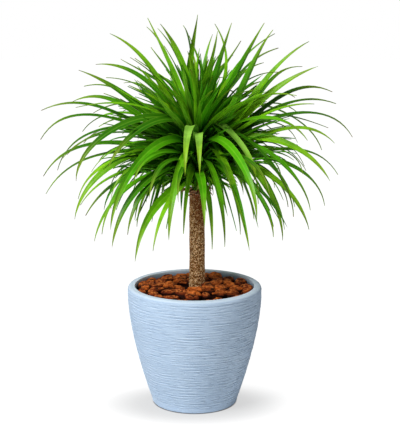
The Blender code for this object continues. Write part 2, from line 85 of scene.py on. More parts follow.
class NodeSheet:
    """One node tree, with a short way to add a node and feed its sockets."""

    def __init__(self, tree: bpy.types.NodeTree) -> None:
        """Keep the tree that the nodes go into."""
        self.tree = tree

    def feed(self, socket: bpy.types.NodeSocket, value: Feed) -> None:
        """Join a socket to another one, or set its constant.

        Args:
            socket: The input to feed.
            value: An output socket, or a constant for the input.
        """
        if isinstance(value, bpy.types.NodeSocket):
            self.tree.links.new(value, socket)
        else:
            socket.default_value = value

    def add(self, kind: str, feeds: dict[Union[str, int], Feed], **settings: object) -> bpy.types.Node:
        """Add a node.

        Args:
            kind: Blender's name for the node.
            feeds: What each named or numbered input takes.
            **settings: The node's own settings, such as operation.

        Returns:
            The new node.
        """
        node = self.tree.nodes.new(kind)
        for name, value in settings.items():
            setattr(node, name, value)
        for key, value in feeds.items():
            self.feed(node.inputs[key], value)
        return node

    def math(
        self, operation: str, first: Feed, second: Feed = 0.0, clamp: bool = False
    ) -> bpy.types.NodeSocket:
        """Work out one number from two.

        Args:
            operation: Blender's name for the sum, such as MULTIPLY.
            first: The first number.
            second: The second number.
            clamp: Whether the result is held between 0 and 1.

        Returns:
            The socket that holds the result.
        """
        node = self.add("ShaderNodeMath", {0: first, 1: second}, operation=operation, use_clamp=clamp)
        return node.outputs[0]

    def ramp(self, value: Feed, low: float, high: float) -> bpy.types.NodeSocket:
        """Rise softly from 0 to 1 while value goes from low to high.

        Args:
            value: The number that is read.
            low: Where the result leaves 0.
            high: Where the result reaches 1.

        Returns:
            The socket that holds the result.
        """
        feeds = {"Value": value, "From Min": low, "From Max": high}
        return self.add("ShaderNodeMapRange", feeds, interpolation_type="SMOOTHSTEP").outputs[0]

    def blend(self, share: Feed, first: Feed, second: Feed, mode: str = "MIX") -> bpy.types.NodeSocket:
        """Blend two colours.

        Args:
            share: How much of the second colour is taken, from 0 to 1.
            first: The first colour.
            second: The second colour.
            mode: Blender's name for the way to blend.

        Returns:
            The socket that holds the blended colour.
        """
        node = self.add("ShaderNodeMix", {0: share, 6: first, 7: second}, data_type="RGBA", blend_type=mode)
        return node.outputs[2]

    def tint(self, colour: Feed, mask: Feed, share: float, other: Colour) -> bpy.types.NodeSocket:
        """Lead a colour towards another one where a mask is high.

        Args:
            colour: The colour so far.
            mask: Where the other colour goes, from 0 to 1.
            share: How much of it is taken where the mask is 1.
            other: The other colour.

        Returns:
            The socket that holds the result.
        """
        return self.blend(self.math("MULTIPLY", mask, share), colour, rgba(other))

    def bump(self, height: Feed, strength: float, depth: float) -> bpy.types.NodeSocket:
        """Turn a height into a normal.

        Args:
            height: The height, from 0 to 1.
            strength: How much the bump counts.
            depth: How far apart heights 0 and 1 are, in metres.

        Returns:
            The socket that holds the normal.
        """
        feeds = {"Height": height, "Strength": strength, "Distance": depth}
        return self.add("ShaderNodeBump", feeds).outputs[0]


class Socket(NamedTuple):
    """One named socket of a shared node group."""

    name: str
    kind: str
    default: Union[float, tuple, None] = None


def new_group(name: str, takes: Sequence[Socket], gives: Sequence[Socket]) -> tuple[NodeSheet, dict]:
    """Start a shared shader group.

    Args:
        name: The group's name.
        takes: Its inputs.
        gives: Its outputs.

    Returns:
        The group's sheet, and what each input gives inside it, by name.
    """
    tree = bpy.data.node_groups.new(name, "ShaderNodeTree")
    for side, sockets in (("INPUT", takes), ("OUTPUT", gives)):
        for socket in sockets:
            made = tree.interface.new_socket(socket.name, in_out=side, socket_type=socket.kind)
            if socket.default is not None:
                made.default_value = socket.default
    sheet = NodeSheet(tree)
    inside = sheet.add("NodeGroupInput", {})
    return sheet, {socket.name: inside.outputs[socket.name] for socket in takes}


NUMBER, VECTOR, COLOUR = "NodeSocketFloat", "NodeSocketVector", "NodeSocketColor"


class SharedEffects:
    """The node groups that more than one finish uses, each built once."""

    def __init__(self) -> None:
        """Build the three groups."""
        self.tone_drift = self.make_tone_drift()
        self.fine_grain = self.make_fine_grain()
        self.fibre_lines = self.make_fibre_lines()

    @staticmethod
    def make_tone_drift() -> bpy.types.NodeTree:
        """Build the group that drifts softly between two colours.

        Returns:
            The group's tree.
        """
        takes = (
            Socket("Place", VECTOR),
            Socket("Size", NUMBER, 10.0),
            Socket("Contrast", NUMBER, 2.0),
            Socket("Lean", NUMBER, 0.5),
            Socket("First", COLOUR),
            Socket("Second", COLOUR),
        )
        gives = (Socket("Colour", COLOUR), Socket("Mask", NUMBER))
        sheet, given = new_group("tone_drift", takes, gives)
        feeds = {"Vector": given["Place"], "Scale": given["Size"], "Detail": 5.0, "Roughness": 0.62}
        cloud = sheet.add("ShaderNodeTexNoise", feeds).outputs[0]
        centred = sheet.math("SUBTRACT", cloud, 0.5)
        spread = sheet.math("MULTIPLY", centred, given["Contrast"])
        mask = sheet.math("ADD", spread, given["Lean"], clamp=True)
        colour = sheet.blend(mask, given["First"], given["Second"])
        sheet.add("NodeGroupOutput", {"Colour": colour, "Mask": mask})
        return sheet.tree

    @staticmethod
    def make_fine_grain() -> bpy.types.NodeTree:
        """Build the group that gives a stretched grain and scattered pits.

        Returns:
            The group's tree.
        """
        takes = (
            Socket("Place", VECTOR),
            Socket("Stretch", VECTOR, (1.0, 1.0, 1.0)),
            Socket("Size", NUMBER, 300.0),
        )
        gives = (Socket("Height", NUMBER), Socket("Pits", NUMBER))
        sheet, given = new_group("fine_grain", takes, gives)
        feeds = {0: given["Place"], 1: given["Stretch"]}
        place = sheet.add("ShaderNodeVectorMath", feeds, operation="MULTIPLY").outputs[0]
        feeds = {"Vector": place, "Scale": given["Size"], "Detail": 6.0, "Roughness": 0.65}
        height = sheet.add("ShaderNodeTexNoise", feeds).outputs[0]
        cells = sheet.add("ShaderNodeTexVoronoi", {"Vector": place, "Scale": given["Size"]}).outputs[0]
        pits = sheet.ramp(cells, 0.32, 0.08)
        sheet.add("NodeGroupOutput", {"Height": height, "Pits": pits})
        return sheet.tree

    @staticmethod
    def make_fibre_lines() -> bpy.types.NodeTree:
        """Build the group that gives long thin lines, such as veins or wood fibres.

        Returns:
            The group's tree.
        """
        takes = (
            Socket("Along", NUMBER),
            Socket("Across", NUMBER),
            Socket("Seed", NUMBER),
            Socket("Fineness", NUMBER, 40.0),
            Socket("Length", NUMBER, 2.0),
        )
        sheet, given = new_group("fibre_lines", takes, (Socket("Line", NUMBER),))
        x = sheet.math("MULTIPLY", given["Across"], given["Fineness"])
        y = sheet.math("MULTIPLY", given["Along"], given["Length"])
        z = sheet.math("MULTIPLY", given["Seed"], 57.0)
        place = sheet.add("ShaderNodeCombineXYZ", {0: x, 1: y, 2: z}).outputs[0]
        feeds = {"Vector": place, "Scale": 1.0, "Detail": 3.0, "Roughness": 0.6}
        line = sheet.add("ShaderNodeTexNoise", feeds).outputs[0]
        sheet.add("NodeGroupOutput", {"Line": sheet.ramp(line, 0.30, 0.70)})
        return sheet.tree


class FinishSheet(NodeSheet):
    """The node tree of one material, with its Principled shader."""

    def __init__(self, name: str, effects: SharedEffects) -> None:
        """Start a material.

        Args:
            name: The material's name.
            effects: The shared node groups.
        """
        self.material = bpy.data.materials.new(name)
        self.material.use_nodes = True
        super().__init__(self.material.node_tree)
        self.effects = effects
        self.shader = self.tree.nodes["Principled BSDF"]
        self.place = self.add("ShaderNodeTexCoord", {}).outputs["Object"]

    def effect(self, group: bpy.types.NodeTree, feeds: dict[Union[str, int], Feed]) -> bpy.types.Node:
        """Place a shared effect in this material.

        Args:
            group: The effect's node group.
            feeds: What each of its inputs takes.

        Returns:
            The group node.
        """
        node = self.tree.nodes.new("ShaderNodeGroup")
        node.node_tree = group
        for key, value in feeds.items():
            self.feed(node.inputs[key], value)
        return node

    def drift(
        self, size: float, first: Feed, second: Feed, contrast: float = 2.5, lean: float = 0.5
    ) -> bpy.types.Node:
        """Drift softly between two colours over the piece.

        Args:
            size: How many blotches fit in a metre.
            first: The first colour.
            second: The second colour.
            contrast: How sharply one gives way to the other.
            lean: Above 0.5 there is more of the second colour.

        Returns:
            The group node.
        """
        feeds = {"Place": self.place, "Size": size, "Contrast": contrast, "Lean": lean}
        return self.effect(self.effects.tone_drift, {**feeds, "First": first, "Second": second})

    def grain(self, size: float, stretch: Triple = (1.0, 1.0, 1.0)) -> bpy.types.Node:
        """Spread a fine grain over the piece.

        Args:
            size: How many grains fit in a metre.
            stretch: How much finer the grain is along each axis.

        Returns:
            The group node.
        """
        feeds = {"Place": self.place, "Size": size, "Stretch": stretch}
        return self.effect(self.effects.fine_grain, feeds)

    def painted(self, name: str) -> tuple[bpy.types.NodeSocket, ...]:
        """Read a mesh's paint.

        Args:
            name: The paint's name.

        Returns:
            Its red, green, blue and alpha values.
        """
        paint = self.add("ShaderNodeAttribute", {}, attribute_name=name)
        parts = self.add("ShaderNodeSeparateColor", {0: paint.outputs["Color"]})
        return (*parts.outputs[:3], paint.outputs["Alpha"])

    def dress(self, colour: Feed, roughness: Feed, normal: Union[Feed, None] = None) -> None:
        """Join the colour, roughness and normal to the shader.

        Args:
            colour: The base colour.
            roughness: The roughness.
            normal: The normal, if a bump changes it.
        """
        self.feed(self.shader.inputs["Base Color"], colour)
        self.feed(self.shader.inputs["Roughness"], roughness)
        if normal is not None:
            self.feed(self.shader.inputs["Normal"], normal)


@dataclass(frozen=True)
class ClayFinish:
    """Pale blue matt clay, sandy to the touch, with painted shade in the combed grooves and inside, and a
    painted highlight on the ridges, the raised specks and the lip.
    """

    name: str = "pale_blue_clay"
    pale: Colour = (0.430, 0.550, 0.700)
    deep: Colour = (0.365, 0.480, 0.630)
    # Painted shade in the grooves; painted highlight on the ridges and raised specks.
    groove: Colour = (0.190, 0.280, 0.410)
    ridge: Colour = (0.560, 0.670, 0.790)
    # Painted highlight on the lip, strongest at its inner edge.
    rim: Colour = (0.680, 0.770, 0.860)
    # Painted shade on the inside of the pot.
    inner: Colour = (0.160, 0.215, 0.280)
    roughness: float = 0.62

    def build(self, effects: SharedEffects) -> bpy.types.Material:
        """Build the material from the paint "relief": height of the ridges, 1 inside where shade is painted,
        and 1 on the lip where a highlight is painted.

        Args:
            effects: The shared node groups.

        Returns:
            The material.
        """
        sheet = FinishSheet(self.name, effects)
        height, inside, lip, _ = sheet.painted("relief")
        cloud = sheet.drift(14.0, rgba(self.pale), rgba(self.deep)).outputs["Colour"]
        fine = sheet.grain(1500.0)
        streaks = sheet.grain(70.0, (1.0, 1.0, 11.0)).outputs["Height"]
        # Painted shade in the grooves, then a painted highlight on the ridges and on the raised specks.
        colour = sheet.tint(cloud, sheet.ramp(height, 0.48, 0.05), 0.55, self.groove)
        colour = sheet.tint(colour, sheet.ramp(height, 0.52, 0.85), 0.80, self.ridge)
        specks = sheet.grain(320.0, (1.0, 1.0, 1.6)).outputs["Pits"]
        colour = sheet.tint(colour, specks, 0.75, self.ridge)
        # Painted highlight on the lip.
        colour = sheet.tint(colour, lip, 0.8, self.rim)
        # Painted shade on the inside wall.
        colour = sheet.tint(colour, inside, 0.8, self.inner)
        bumps = sheet.math("ADD", sheet.math("MULTIPLY", fine.outputs["Height"], 0.35), streaks)
        bumps = sheet.math("ADD", bumps, sheet.math("MULTIPLY", specks, 0.5))
        roughness = sheet.math("ADD", sheet.math("MULTIPLY", streaks, 0.14), self.roughness - 0.07)
        sheet.dress(colour, roughness, sheet.bump(bumps, 0.45, 0.0006))
        sheet.shader.inputs["Specular IOR Level"].default_value = 0.25
        return sheet.material


@dataclass(frozen=True)
class NuggetFinish:
    """Red-brown bark with fibres along each nugget, darker furrows, painted shade on its low sides and on the
    bed between nuggets, and pale dust with a painted highlight on its top.
    """

    name: str = "red_bark"
    orange: Colour = (0.580, 0.122, 0.014)
    russet: Colour = (0.150, 0.022, 0.004)
    # Near-black: painted shade on the low sides of the nuggets and on the bed, also dark patches, fibres and
    # pits.
    dark: Colour = (0.014, 0.0018, 0.0006)
    # Pale dust and a painted highlight on the nugget tops.
    dust_and_highlight: Colour = (0.880, 0.250, 0.055)
    roughness: float = 0.80

    def build(self, effects: SharedEffects) -> bpy.types.Material:
        """Build the material from the paint "nugget": tone, height in it, place across it, 0 in furrows.

        Args:
            effects: The shared node groups.

        Returns:
            The material.
        """
        sheet = FinishSheet(self.name, effects)
        tone, lift, place, crest = sheet.painted("nugget")
        cloud = sheet.drift(115.0, rgba(self.orange), rgba(self.russet), 3.0, 0.42)
        colour = sheet.blend(sheet.ramp(tone, 0.30, 0.75), cloud.outputs["Colour"], rgba(self.russet))
        colour = sheet.drift(88.0, colour, rgba(self.dark), 9.0, 0.08).outputs["Colour"]
        feeds = {"Along": tone, "Across": place, "Seed": tone, "Fineness": 9.0, "Length": 0.0}
        streak = sheet.effect(effects.fibre_lines, feeds).outputs["Line"]
        fine = sheet.grain(260.0)
        # Pale dust and a painted highlight on the nugget tops, in random patches.
        dust_and_highlight_patches = sheet.drift(140.0, rgba(BLACK), rgba(WHITE), 9.0, 0.34).outputs["Colour"]
        bright = sheet.math("MULTIPLY", sheet.ramp(lift, 0.76, 0.98), dust_and_highlight_patches)
        colour = sheet.tint(colour, bright, 0.60, self.dust_and_highlight)
        colour = sheet.tint(colour, sheet.ramp(crest, 0.40, 0.02), 0.42, self.dark)
        colour = sheet.tint(colour, sheet.ramp(streak, 0.35, 0.0), 0.35, self.dark)
        colour = sheet.tint(colour, fine.outputs["Pits"], 0.25, self.dark)
        # Painted shade: near-black on the low sides of each nugget and on the bed.
        colour = sheet.tint(colour, sheet.ramp(lift, 0.80, 0.48), 0.99, self.dark)
        sheet.dress(colour, self.roughness, sheet.bump(fine.outputs["Height"], 1.0, 0.0013))
        sheet.shader.inputs["Specular IOR Level"].default_value = 0.10
        return sheet.material


@dataclass(frozen=True)
class CrumbFinish:
    """Dark crumbly potting soil."""

    name: str = "dark_soil"
    brown: Colour = (0.040, 0.022, 0.012)
    black: Colour = (0.010, 0.006, 0.004)
    fibre: Colour = (0.100, 0.055, 0.028)
    roughness: float = 0.95

    def build(self, effects: SharedEffects) -> bpy.types.Material:
        """Build the material.

        Args:
            effects: The shared node groups.

        Returns:
            The material.
        """
        sheet = FinishSheet(self.name, effects)
        cloud = sheet.drift(120.0, rgba(self.brown), rgba(self.black), 4.0)
        crumbs = sheet.grain(330.0)
        colour = sheet.tint(cloud.outputs["Colour"], crumbs.outputs["Pits"], 0.35, self.fibre)
        sheet.dress(colour, self.roughness, sheet.bump(crumbs.outputs["Height"], 1.0, 0.002))
        return sheet.material


@dataclass(frozen=True)
class TrunkFinish:
    """Granular grey-brown bark: tan grains, dark cracks, and redder and darker towards the top and on the
    right, partly rust and partly painted shade.
    """

    name: str = "grey_brown_bark"
    umber: Colour = (0.150, 0.052, 0.012)
    tan: Colour = (0.430, 0.200, 0.066)
    straw: Colour = (0.920, 0.660, 0.370)
    crack: Colour = (0.045, 0.012, 0.002)
    # Partly rust, partly painted shade under the head and on the side away from the light.
    rust_and_shade: Colour = (0.170, 0.036, 0.005)
    roughness: float = 0.85

    def build(self, effects: SharedEffects) -> bpy.types.Material:
        """Build the material from the paint "bark": grain tone, height, and share of red, which is partly
        rust and partly painted shade.

        Args:
            effects: The shared node groups.

        Returns:
            The material.
        """
        sheet = FinishSheet(self.name, effects)
        tone, height, red, _ = sheet.painted("bark")
        colour = sheet.blend(sheet.ramp(tone, 0.25, 0.55), rgba(self.umber), rgba(self.tan))
        # Redder and darker: partly rust, partly painted shade.
        colour = sheet.tint(colour, red, 0.90, self.rust_and_shade)
        patches = sheet.drift(45.0, colour, rgba(self.umber), 2.0, 0.10).outputs["Colour"]
        light = sheet.ramp(tone, 0.54, 0.74)
        pale = sheet.math("SUBTRACT", light, sheet.math("MULTIPLY", red, 0.60), clamp=True)
        colour = sheet.blend(pale, patches, rgba(self.straw))
        colour = sheet.tint(colour, sheet.ramp(height, 0.42, 0.05), 0.9, self.crack)
        fine = sheet.grain(900.0, (1.0, 1.0, 0.6))
        colour = sheet.tint(colour, fine.outputs["Pits"], 0.5, self.crack)
        sheet.dress(colour, self.roughness, sheet.bump(fine.outputs["Height"], 0.9, 0.0007))
        sheet.shader.inputs["Specular IOR Level"].default_value = 0.12
        return sheet.material


@dataclass(frozen=True)
class LeafFinish:
    """Satin green leaf skin with fine veins, a paler midrib and rim, a dry tip, painted shade at the root and
    deep inside the head, and a painted sheen on the palest leaves.
    """

    name: str = "green_leaf"
    deep: Colour = (0.004, 0.082, 0.0003)
    fresh: Colour = (0.054, 0.305, 0.0010)
    young: Colour = (0.205, 0.490, 0.007)
    # Painted sheen on the palest leaves.
    pale: Colour = (0.240, 0.500, 0.060)
    rib: Colour = (0.340, 0.640, 0.050)
    olive: Colour = (0.205, 0.285, 0.018)
    dry: Colour = (0.230, 0.160, 0.030)
    under: Colour = (0.050, 0.300, 0.004)
    roughness: float = 0.40
    # Where and how strongly shade is painted deep inside the head, and the neck below where it stops.
    heart: Triple = (TRUNK_X, 0.020, 0.595)
    heart_squash: float = 1.7
    heart_near: float = 0.050
    heart_far: float = 0.170
    heart_shade: float = 0.78
    neck_low: float = 0.525
    neck_high: float = 0.560
    root_shade: float = 0.70

    def build(self, effects: SharedEffects) -> bpy.types.Material:
        """Build the material from the paint "blade": tone, place along and across, and 1 on the upper side.

        Args:
            effects: The shared node groups.

        Returns:
            The material.
        """
        sheet = FinishSheet(self.name, effects)
        tone, along, across, top = sheet.painted("blade")
        colour = sheet.blend(sheet.ramp(tone, 0.0, 0.55), rgba(self.deep), rgba(self.fresh))
        colour = sheet.blend(sheet.ramp(tone, 0.5, 0.9), colour, rgba(self.young))
        # Painted sheen on the leaves of highest tone, fading out toward the tip.
        painted_sheen = sheet.math("MULTIPLY", sheet.ramp(tone, 0.9, 1.0), sheet.ramp(along, 0.90, 0.62))
        colour = sheet.blend(painted_sheen, colour, rgba(self.pale))
        colour = sheet.drift(26.0, colour, rgba(self.deep), 2.4, 0.12).outputs["Colour"]
        feeds = {"Along": along, "Across": across, "Seed": tone, "Fineness": 24.0, "Length": 2.5}
        veins = sheet.effect(effects.fibre_lines, feeds).outputs["Line"]
        veins = sheet.math("MULTIPLY", veins, sheet.ramp(along, 0.86, 0.50))
        colour = sheet.tint(colour, veins, 0.20, self.young)
        colour = sheet.tint(colour, sheet.math("SUBTRACT", 1.0, top), 0.45, self.under)
        colour = sheet.tint(colour, sheet.ramp(along, 0.62, 1.0), 0.74, self.olive)
        off_middle = sheet.math("ABSOLUTE", sheet.math("SUBTRACT", across, 0.5))
        colour = sheet.tint(colour, sheet.ramp(off_middle, 0.085, 0.02), 0.20, self.rib)
        colour = sheet.tint(colour, sheet.ramp(off_middle, 0.43, 0.495), 0.32, self.rib)
        # Painted shade at each leaf's root, then painted shade deep inside the head, but not in the neck
        # below it.
        colour = sheet.tint(colour, sheet.ramp(along, 0.34, 0.04), self.root_shade, self.deep)
        feeds = {0: sheet.place, 1: (1.0, 1.0, self.heart_squash)}
        place = sheet.add("ShaderNodeVectorMath", feeds, operation="MULTIPLY").outputs["Vector"]
        feeds = {0: place, 1: (*self.heart[:2], self.heart[2] * self.heart_squash)}
        inward = sheet.add("ShaderNodeVectorMath", feeds, operation="DISTANCE").outputs["Value"]
        shade = sheet.math("MULTIPLY", sheet.ramp(inward, self.heart_far, self.heart_near), self.heart_shade)
        height = sheet.add("ShaderNodeSeparateXYZ", {0: sheet.place}).outputs["Z"]
        shade = sheet.math("MULTIPLY", shade, sheet.ramp(height, self.neck_low, self.neck_high))
        colour = sheet.blend(shade, colour, rgba(self.deep))
        scorch = sheet.math("SUBTRACT", along, sheet.math("MULTIPLY", tone, 0.03))
        colour = sheet.blend(sheet.ramp(scorch, 0.965, 0.990), colour, rgba(self.dry))
        roughness = sheet.math("ADD", sheet.math("MULTIPLY", veins, 0.10), self.roughness - 0.05)
        sheet.dress(colour, roughness, sheet.bump(veins, 0.30, 0.0005))
        sheet.shader.inputs["Specular IOR Level"].default_value = 0.13
        return sheet.material


@dataclass(frozen=True)
class ScaleFinish:
    """Papery leaf base, from pale to brown, or from yellow to green in the neck."""

    name: str = "dry_leaf_base"
    straw: Colour = (0.78, 0.50, 0.330)
    brown: Colour = (0.34, 0.125, 0.045)
    roughness: float = 0.7

    def build(self, effects: SharedEffects) -> bpy.types.Material:
        """Build the material from the paint "blade", as the leaves have it.

        Args:
            effects: The shared node groups.

        Returns:
            The material.
        """
        sheet = FinishSheet(self.name, effects)
        tone, along, across, _ = sheet.painted("blade")
        colour = sheet.drift(160.0, rgba(self.brown), rgba(self.straw), 3.0, 0.40).outputs["Colour"]
        colour = sheet.tint(colour, tone, 0.6, self.brown)
        feeds = {"Along": along, "Across": across, "Seed": tone, "Fineness": 18.0, "Length": 2.0}
        fibres = sheet.effect(effects.fibre_lines, feeds).outputs["Line"]
        colour = sheet.tint(colour, fibres, 0.5, self.brown)
        sheet.dress(colour, self.roughness, sheet.bump(fibres, 0.7, 0.0006))
        return sheet.material


@dataclass(frozen=True)
class FloorFinish:
    """White studio paper, bright far from the object, with a painted soft shadow close round its foot and a
    painted contact shadow at its edge.
    """

    name: str = "white_paper"
    white: Colour = (0.86, 0.86, 0.86)
    shown: Colour = (0.09, 0.09, 0.09)
    # Glow in the painted soft shadow near the foot, and far from it.
    near_glow: float = 0.63
    far_glow: float = 0.98
    near: float = 0.075
    far: float = 0.190
    stretch: Triple = (0.74, 1.10, 1.0)
    forward: Triple = (0.0, 0.028, 0.0)
    contact_shadow: float = 0.0965
    contact_glow: float = 0.08

    def build(self, effects: SharedEffects) -> bpy.types.Material:
        """Build the material.

        Args:
            effects: The shared node groups.

        Returns:
            The material.
        """
        sheet = FinishSheet(self.name, effects)
        grain = sheet.grain(400.0)
        duller = tuple(0.99 * share for share in self.white)
        white = sheet.drift(3.0, rgba(self.white), rgba(duller)).outputs["Colour"]
        # Seen by the camera the paper is nearly black, so its brightness is the glow with the painted shadow
        # in it; to light the scene it is plain white.
        seen = sheet.add("ShaderNodeLightPath", {}).outputs["Is Camera Ray"]
        white = sheet.blend(seen, white, rgba(self.shown))
        sheet.dress(white, 0.9, sheet.bump(grain.outputs["Height"], 0.05, 0.0002))
        away = sheet.add("ShaderNodeVectorMath", {0: sheet.place}, operation="LENGTH").outputs["Value"]
        # Painted soft shadow: the glow is dimmer in an oval round the foot.
        feeds = {0: sheet.place, 1: self.stretch, 2: self.forward}
        oval = sheet.add("ShaderNodeVectorMath", feeds, operation="MULTIPLY_ADD").outputs["Vector"]
        oval = sheet.add("ShaderNodeVectorMath", {0: oval}, operation="LENGTH").outputs["Value"]
        feeds = {
            "Value": oval,
            "From Min": self.near,
            "From Max": self.far,
            "To Min": self.near_glow,
            "To Max": self.far_glow,
        }
        glow = sheet.add("ShaderNodeMapRange", feeds, interpolation_type="SMOOTHSTEP").outputs[0]
        # Painted contact shadow: a thin dark ring at the pot's foot.
        contact_shadow = sheet.ramp(away, self.contact_shadow - 0.0030, self.contact_shadow + 0.0020)
        contact_shadow = sheet.math("MULTIPLY", contact_shadow, 1.0 - self.contact_glow)
        contact_shadow = sheet.math("ADD", contact_shadow, self.contact_glow)
        glow = sheet.math("MULTIPLY", sheet.math("MULTIPLY", glow, contact_shadow), seen)
        sheet.feed(sheet.shader.inputs["Emission Color"], sheet.blend(glow, rgba(BLACK), rgba(WHITE)))
        sheet.shader.inputs["Emission Strength"].default_value = 1.0
        return sheet.material


class Shape:
    """Points, faces and paint of one mesh while it is being made."""

    def __init__(self, paint_name: str) -> None:
        """Start an empty shape.

        Args:
            paint_name: What its paint is called in the finish.
        """
        self.paint_name = paint_name
        self.points: list[np.ndarray] = []
        self.paint: list[np.ndarray] = []
        self.faces: list[list[int]] = []
        self.count = 0

    def add_points(self, points: np.ndarray, paint: np.ndarray) -> int:
        """Add points with their paint.

        Args:
            points: Points, three numbers each.
            paint: Their paint, four numbers each.

        Returns:
            The number of the first one.
        """
        first = self.count
        self.points.append(points.reshape(-1, 3))
        self.paint.append(paint.reshape(-1, 4))
        self.count += len(self.points[-1])
        return first

    def add_tube(self, rings: np.ndarray, paint: np.ndarray, loop: bool = False) -> None:
        """Add a closed tube: rows of points that each close round, with a cap at both ends.

        Args:
            rings: Points by row and column, three numbers each.
            paint: Paint by row and column, four numbers each.
            loop: Whether the last row joins the first, in place of the caps.
        """
        rows, columns = rings.shape[:2]
        first = self.add_points(rings, paint)
        row = np.arange(rows if loop else rows - 1)[:, None]
        column = np.arange(columns)[None, :]
        above, beside = (row + 1) % rows, (column + 1) % columns
        corners = (
            row * columns + column,
            row * columns + beside,
            above * columns + beside,
            above * columns + column,
        )
        quads = np.stack(corners, axis=-1).reshape(-1, 4) + first
        self.faces += quads.tolist()
        if not loop:
            self.faces.append(list(range(first + columns - 1, first - 1, -1)))
            last = first + (rows - 1) * columns
            self.faces.append(list(range(last, last + columns)))

    def build(self, name: str, material: bpy.types.Material, sharp: float = 60.0) -> bpy.types.Object:
        """Make the object.

        Args:
            name: The object's name.
            material: Its finish.
            sharp: Edges that bend by more degrees than this stay crisp.

        Returns:
            The object, linked to the scene.
        """
        mesh = bpy.data.meshes.new(name)
        points = np.concatenate(self.points)
        mesh.from_pydata(points.tolist(), [], self.faces)
        colours = mesh.color_attributes.new(self.paint_name, "FLOAT_COLOR", "POINT")
        colours.data.foreach_set("color", np.concatenate(self.paint).astype(np.float32).ravel())
        mesh.materials.append(material)
        mesh.shade_smooth()
        mesh.set_sharp_from_angle(angle=math.radians(sharp))
        mesh.update()
        piece = bpy.data.objects.new(name, mesh)
        bpy.context.scene.collection.objects.link(piece)
        return piece


def settle(piece: bpy.types.Object, node: str) -> bpy.types.Object:
    """Say what a piece stands for, and report it.

    Args:
        piece: The new piece.
        node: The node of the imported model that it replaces.

    Returns:
        The piece.
    """
    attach(piece, "root")
    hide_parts(node)
    LOG.info("%s: %d faces for %s", piece.name, len(piece.data.polygons), node)
    return piece


def pot_radius(height: float) -> float:
    """Return the outside radius of the pot's wall at a height."""
    left = 1.0 - min(max(height, 0.0) / POT_BELLY_HEIGHT, 1.0)
    return POT_BASE_RADIUS + (POT_BELLY_RADIUS - POT_BASE_RADIUS) * (1.0 - left**POT_SWELL)


def arc(
    centre: tuple[float, float], radius: float, start: float, end: float, steps: int
) -> list[tuple[float, float]]:
    """Return (radius, height) points along an arc.

    Args:
        centre: Radius and height of the arc's middle.
        radius: Radius of the arc.
        start: First angle in degrees.
        end: Last angle in degrees.
        steps: Number of steps between them.

    Returns:
        The points, from start to end.
    """
    angles = [math.radians(start + (end - start) * k / steps) for k in range(steps + 1)]
    return [(centre[0] + radius * math.cos(a), centre[1] + radius * math.sin(a)) for a in angles]


class Comb(NamedTuple):
    """One set of combed ridges round the pot."""

    pitch: float  # height from ridge to ridge
    share: float  # how much it counts
    wobble: float  # how far ridges wander, in pitches
    bends: tuple[int, int]  # bends round the pot and up its wall
    breaks: int  # how often a ridge fades out round the pot


def soft_field(
    draw: np.random.Generator, round_share: np.ndarray, up_share: np.ndarray, cells: tuple[int, int]
) -> np.ndarray:
    """Spread soft random values over a wall that closes on itself.

    Args:
        draw: The seeded source of numbers.
        round_share: Places round the wall, from 0 to 1.
        up_share: Places up the wall, from 0 to 1.
        cells: How many values there are round it and up it.

    Returns:
        A value from -1 to 1 for each place.
    """
    table = draw.uniform(-1.0, 1.0, (cells[1] + 2, cells[0]))
    x, y = (round_share % 1.0) * cells[0], np.clip(up_share, 0.0, 1.0) * cells[1]
    column, row = np.floor(x).astype(int), np.floor(y).astype(int)
    across, up = smooth(x - column, 0.0, 1.0), smooth(y - row, 0.0, 1.0)
    left, right = column % cells[0], (column + 1) % cells[0]
    low = table[row, left] * (1 - across) + table[row, right] * across
    high = table[row + 1, left] * (1 - across) + table[row + 1, right] * across
    return low * (1 - up) + high * up


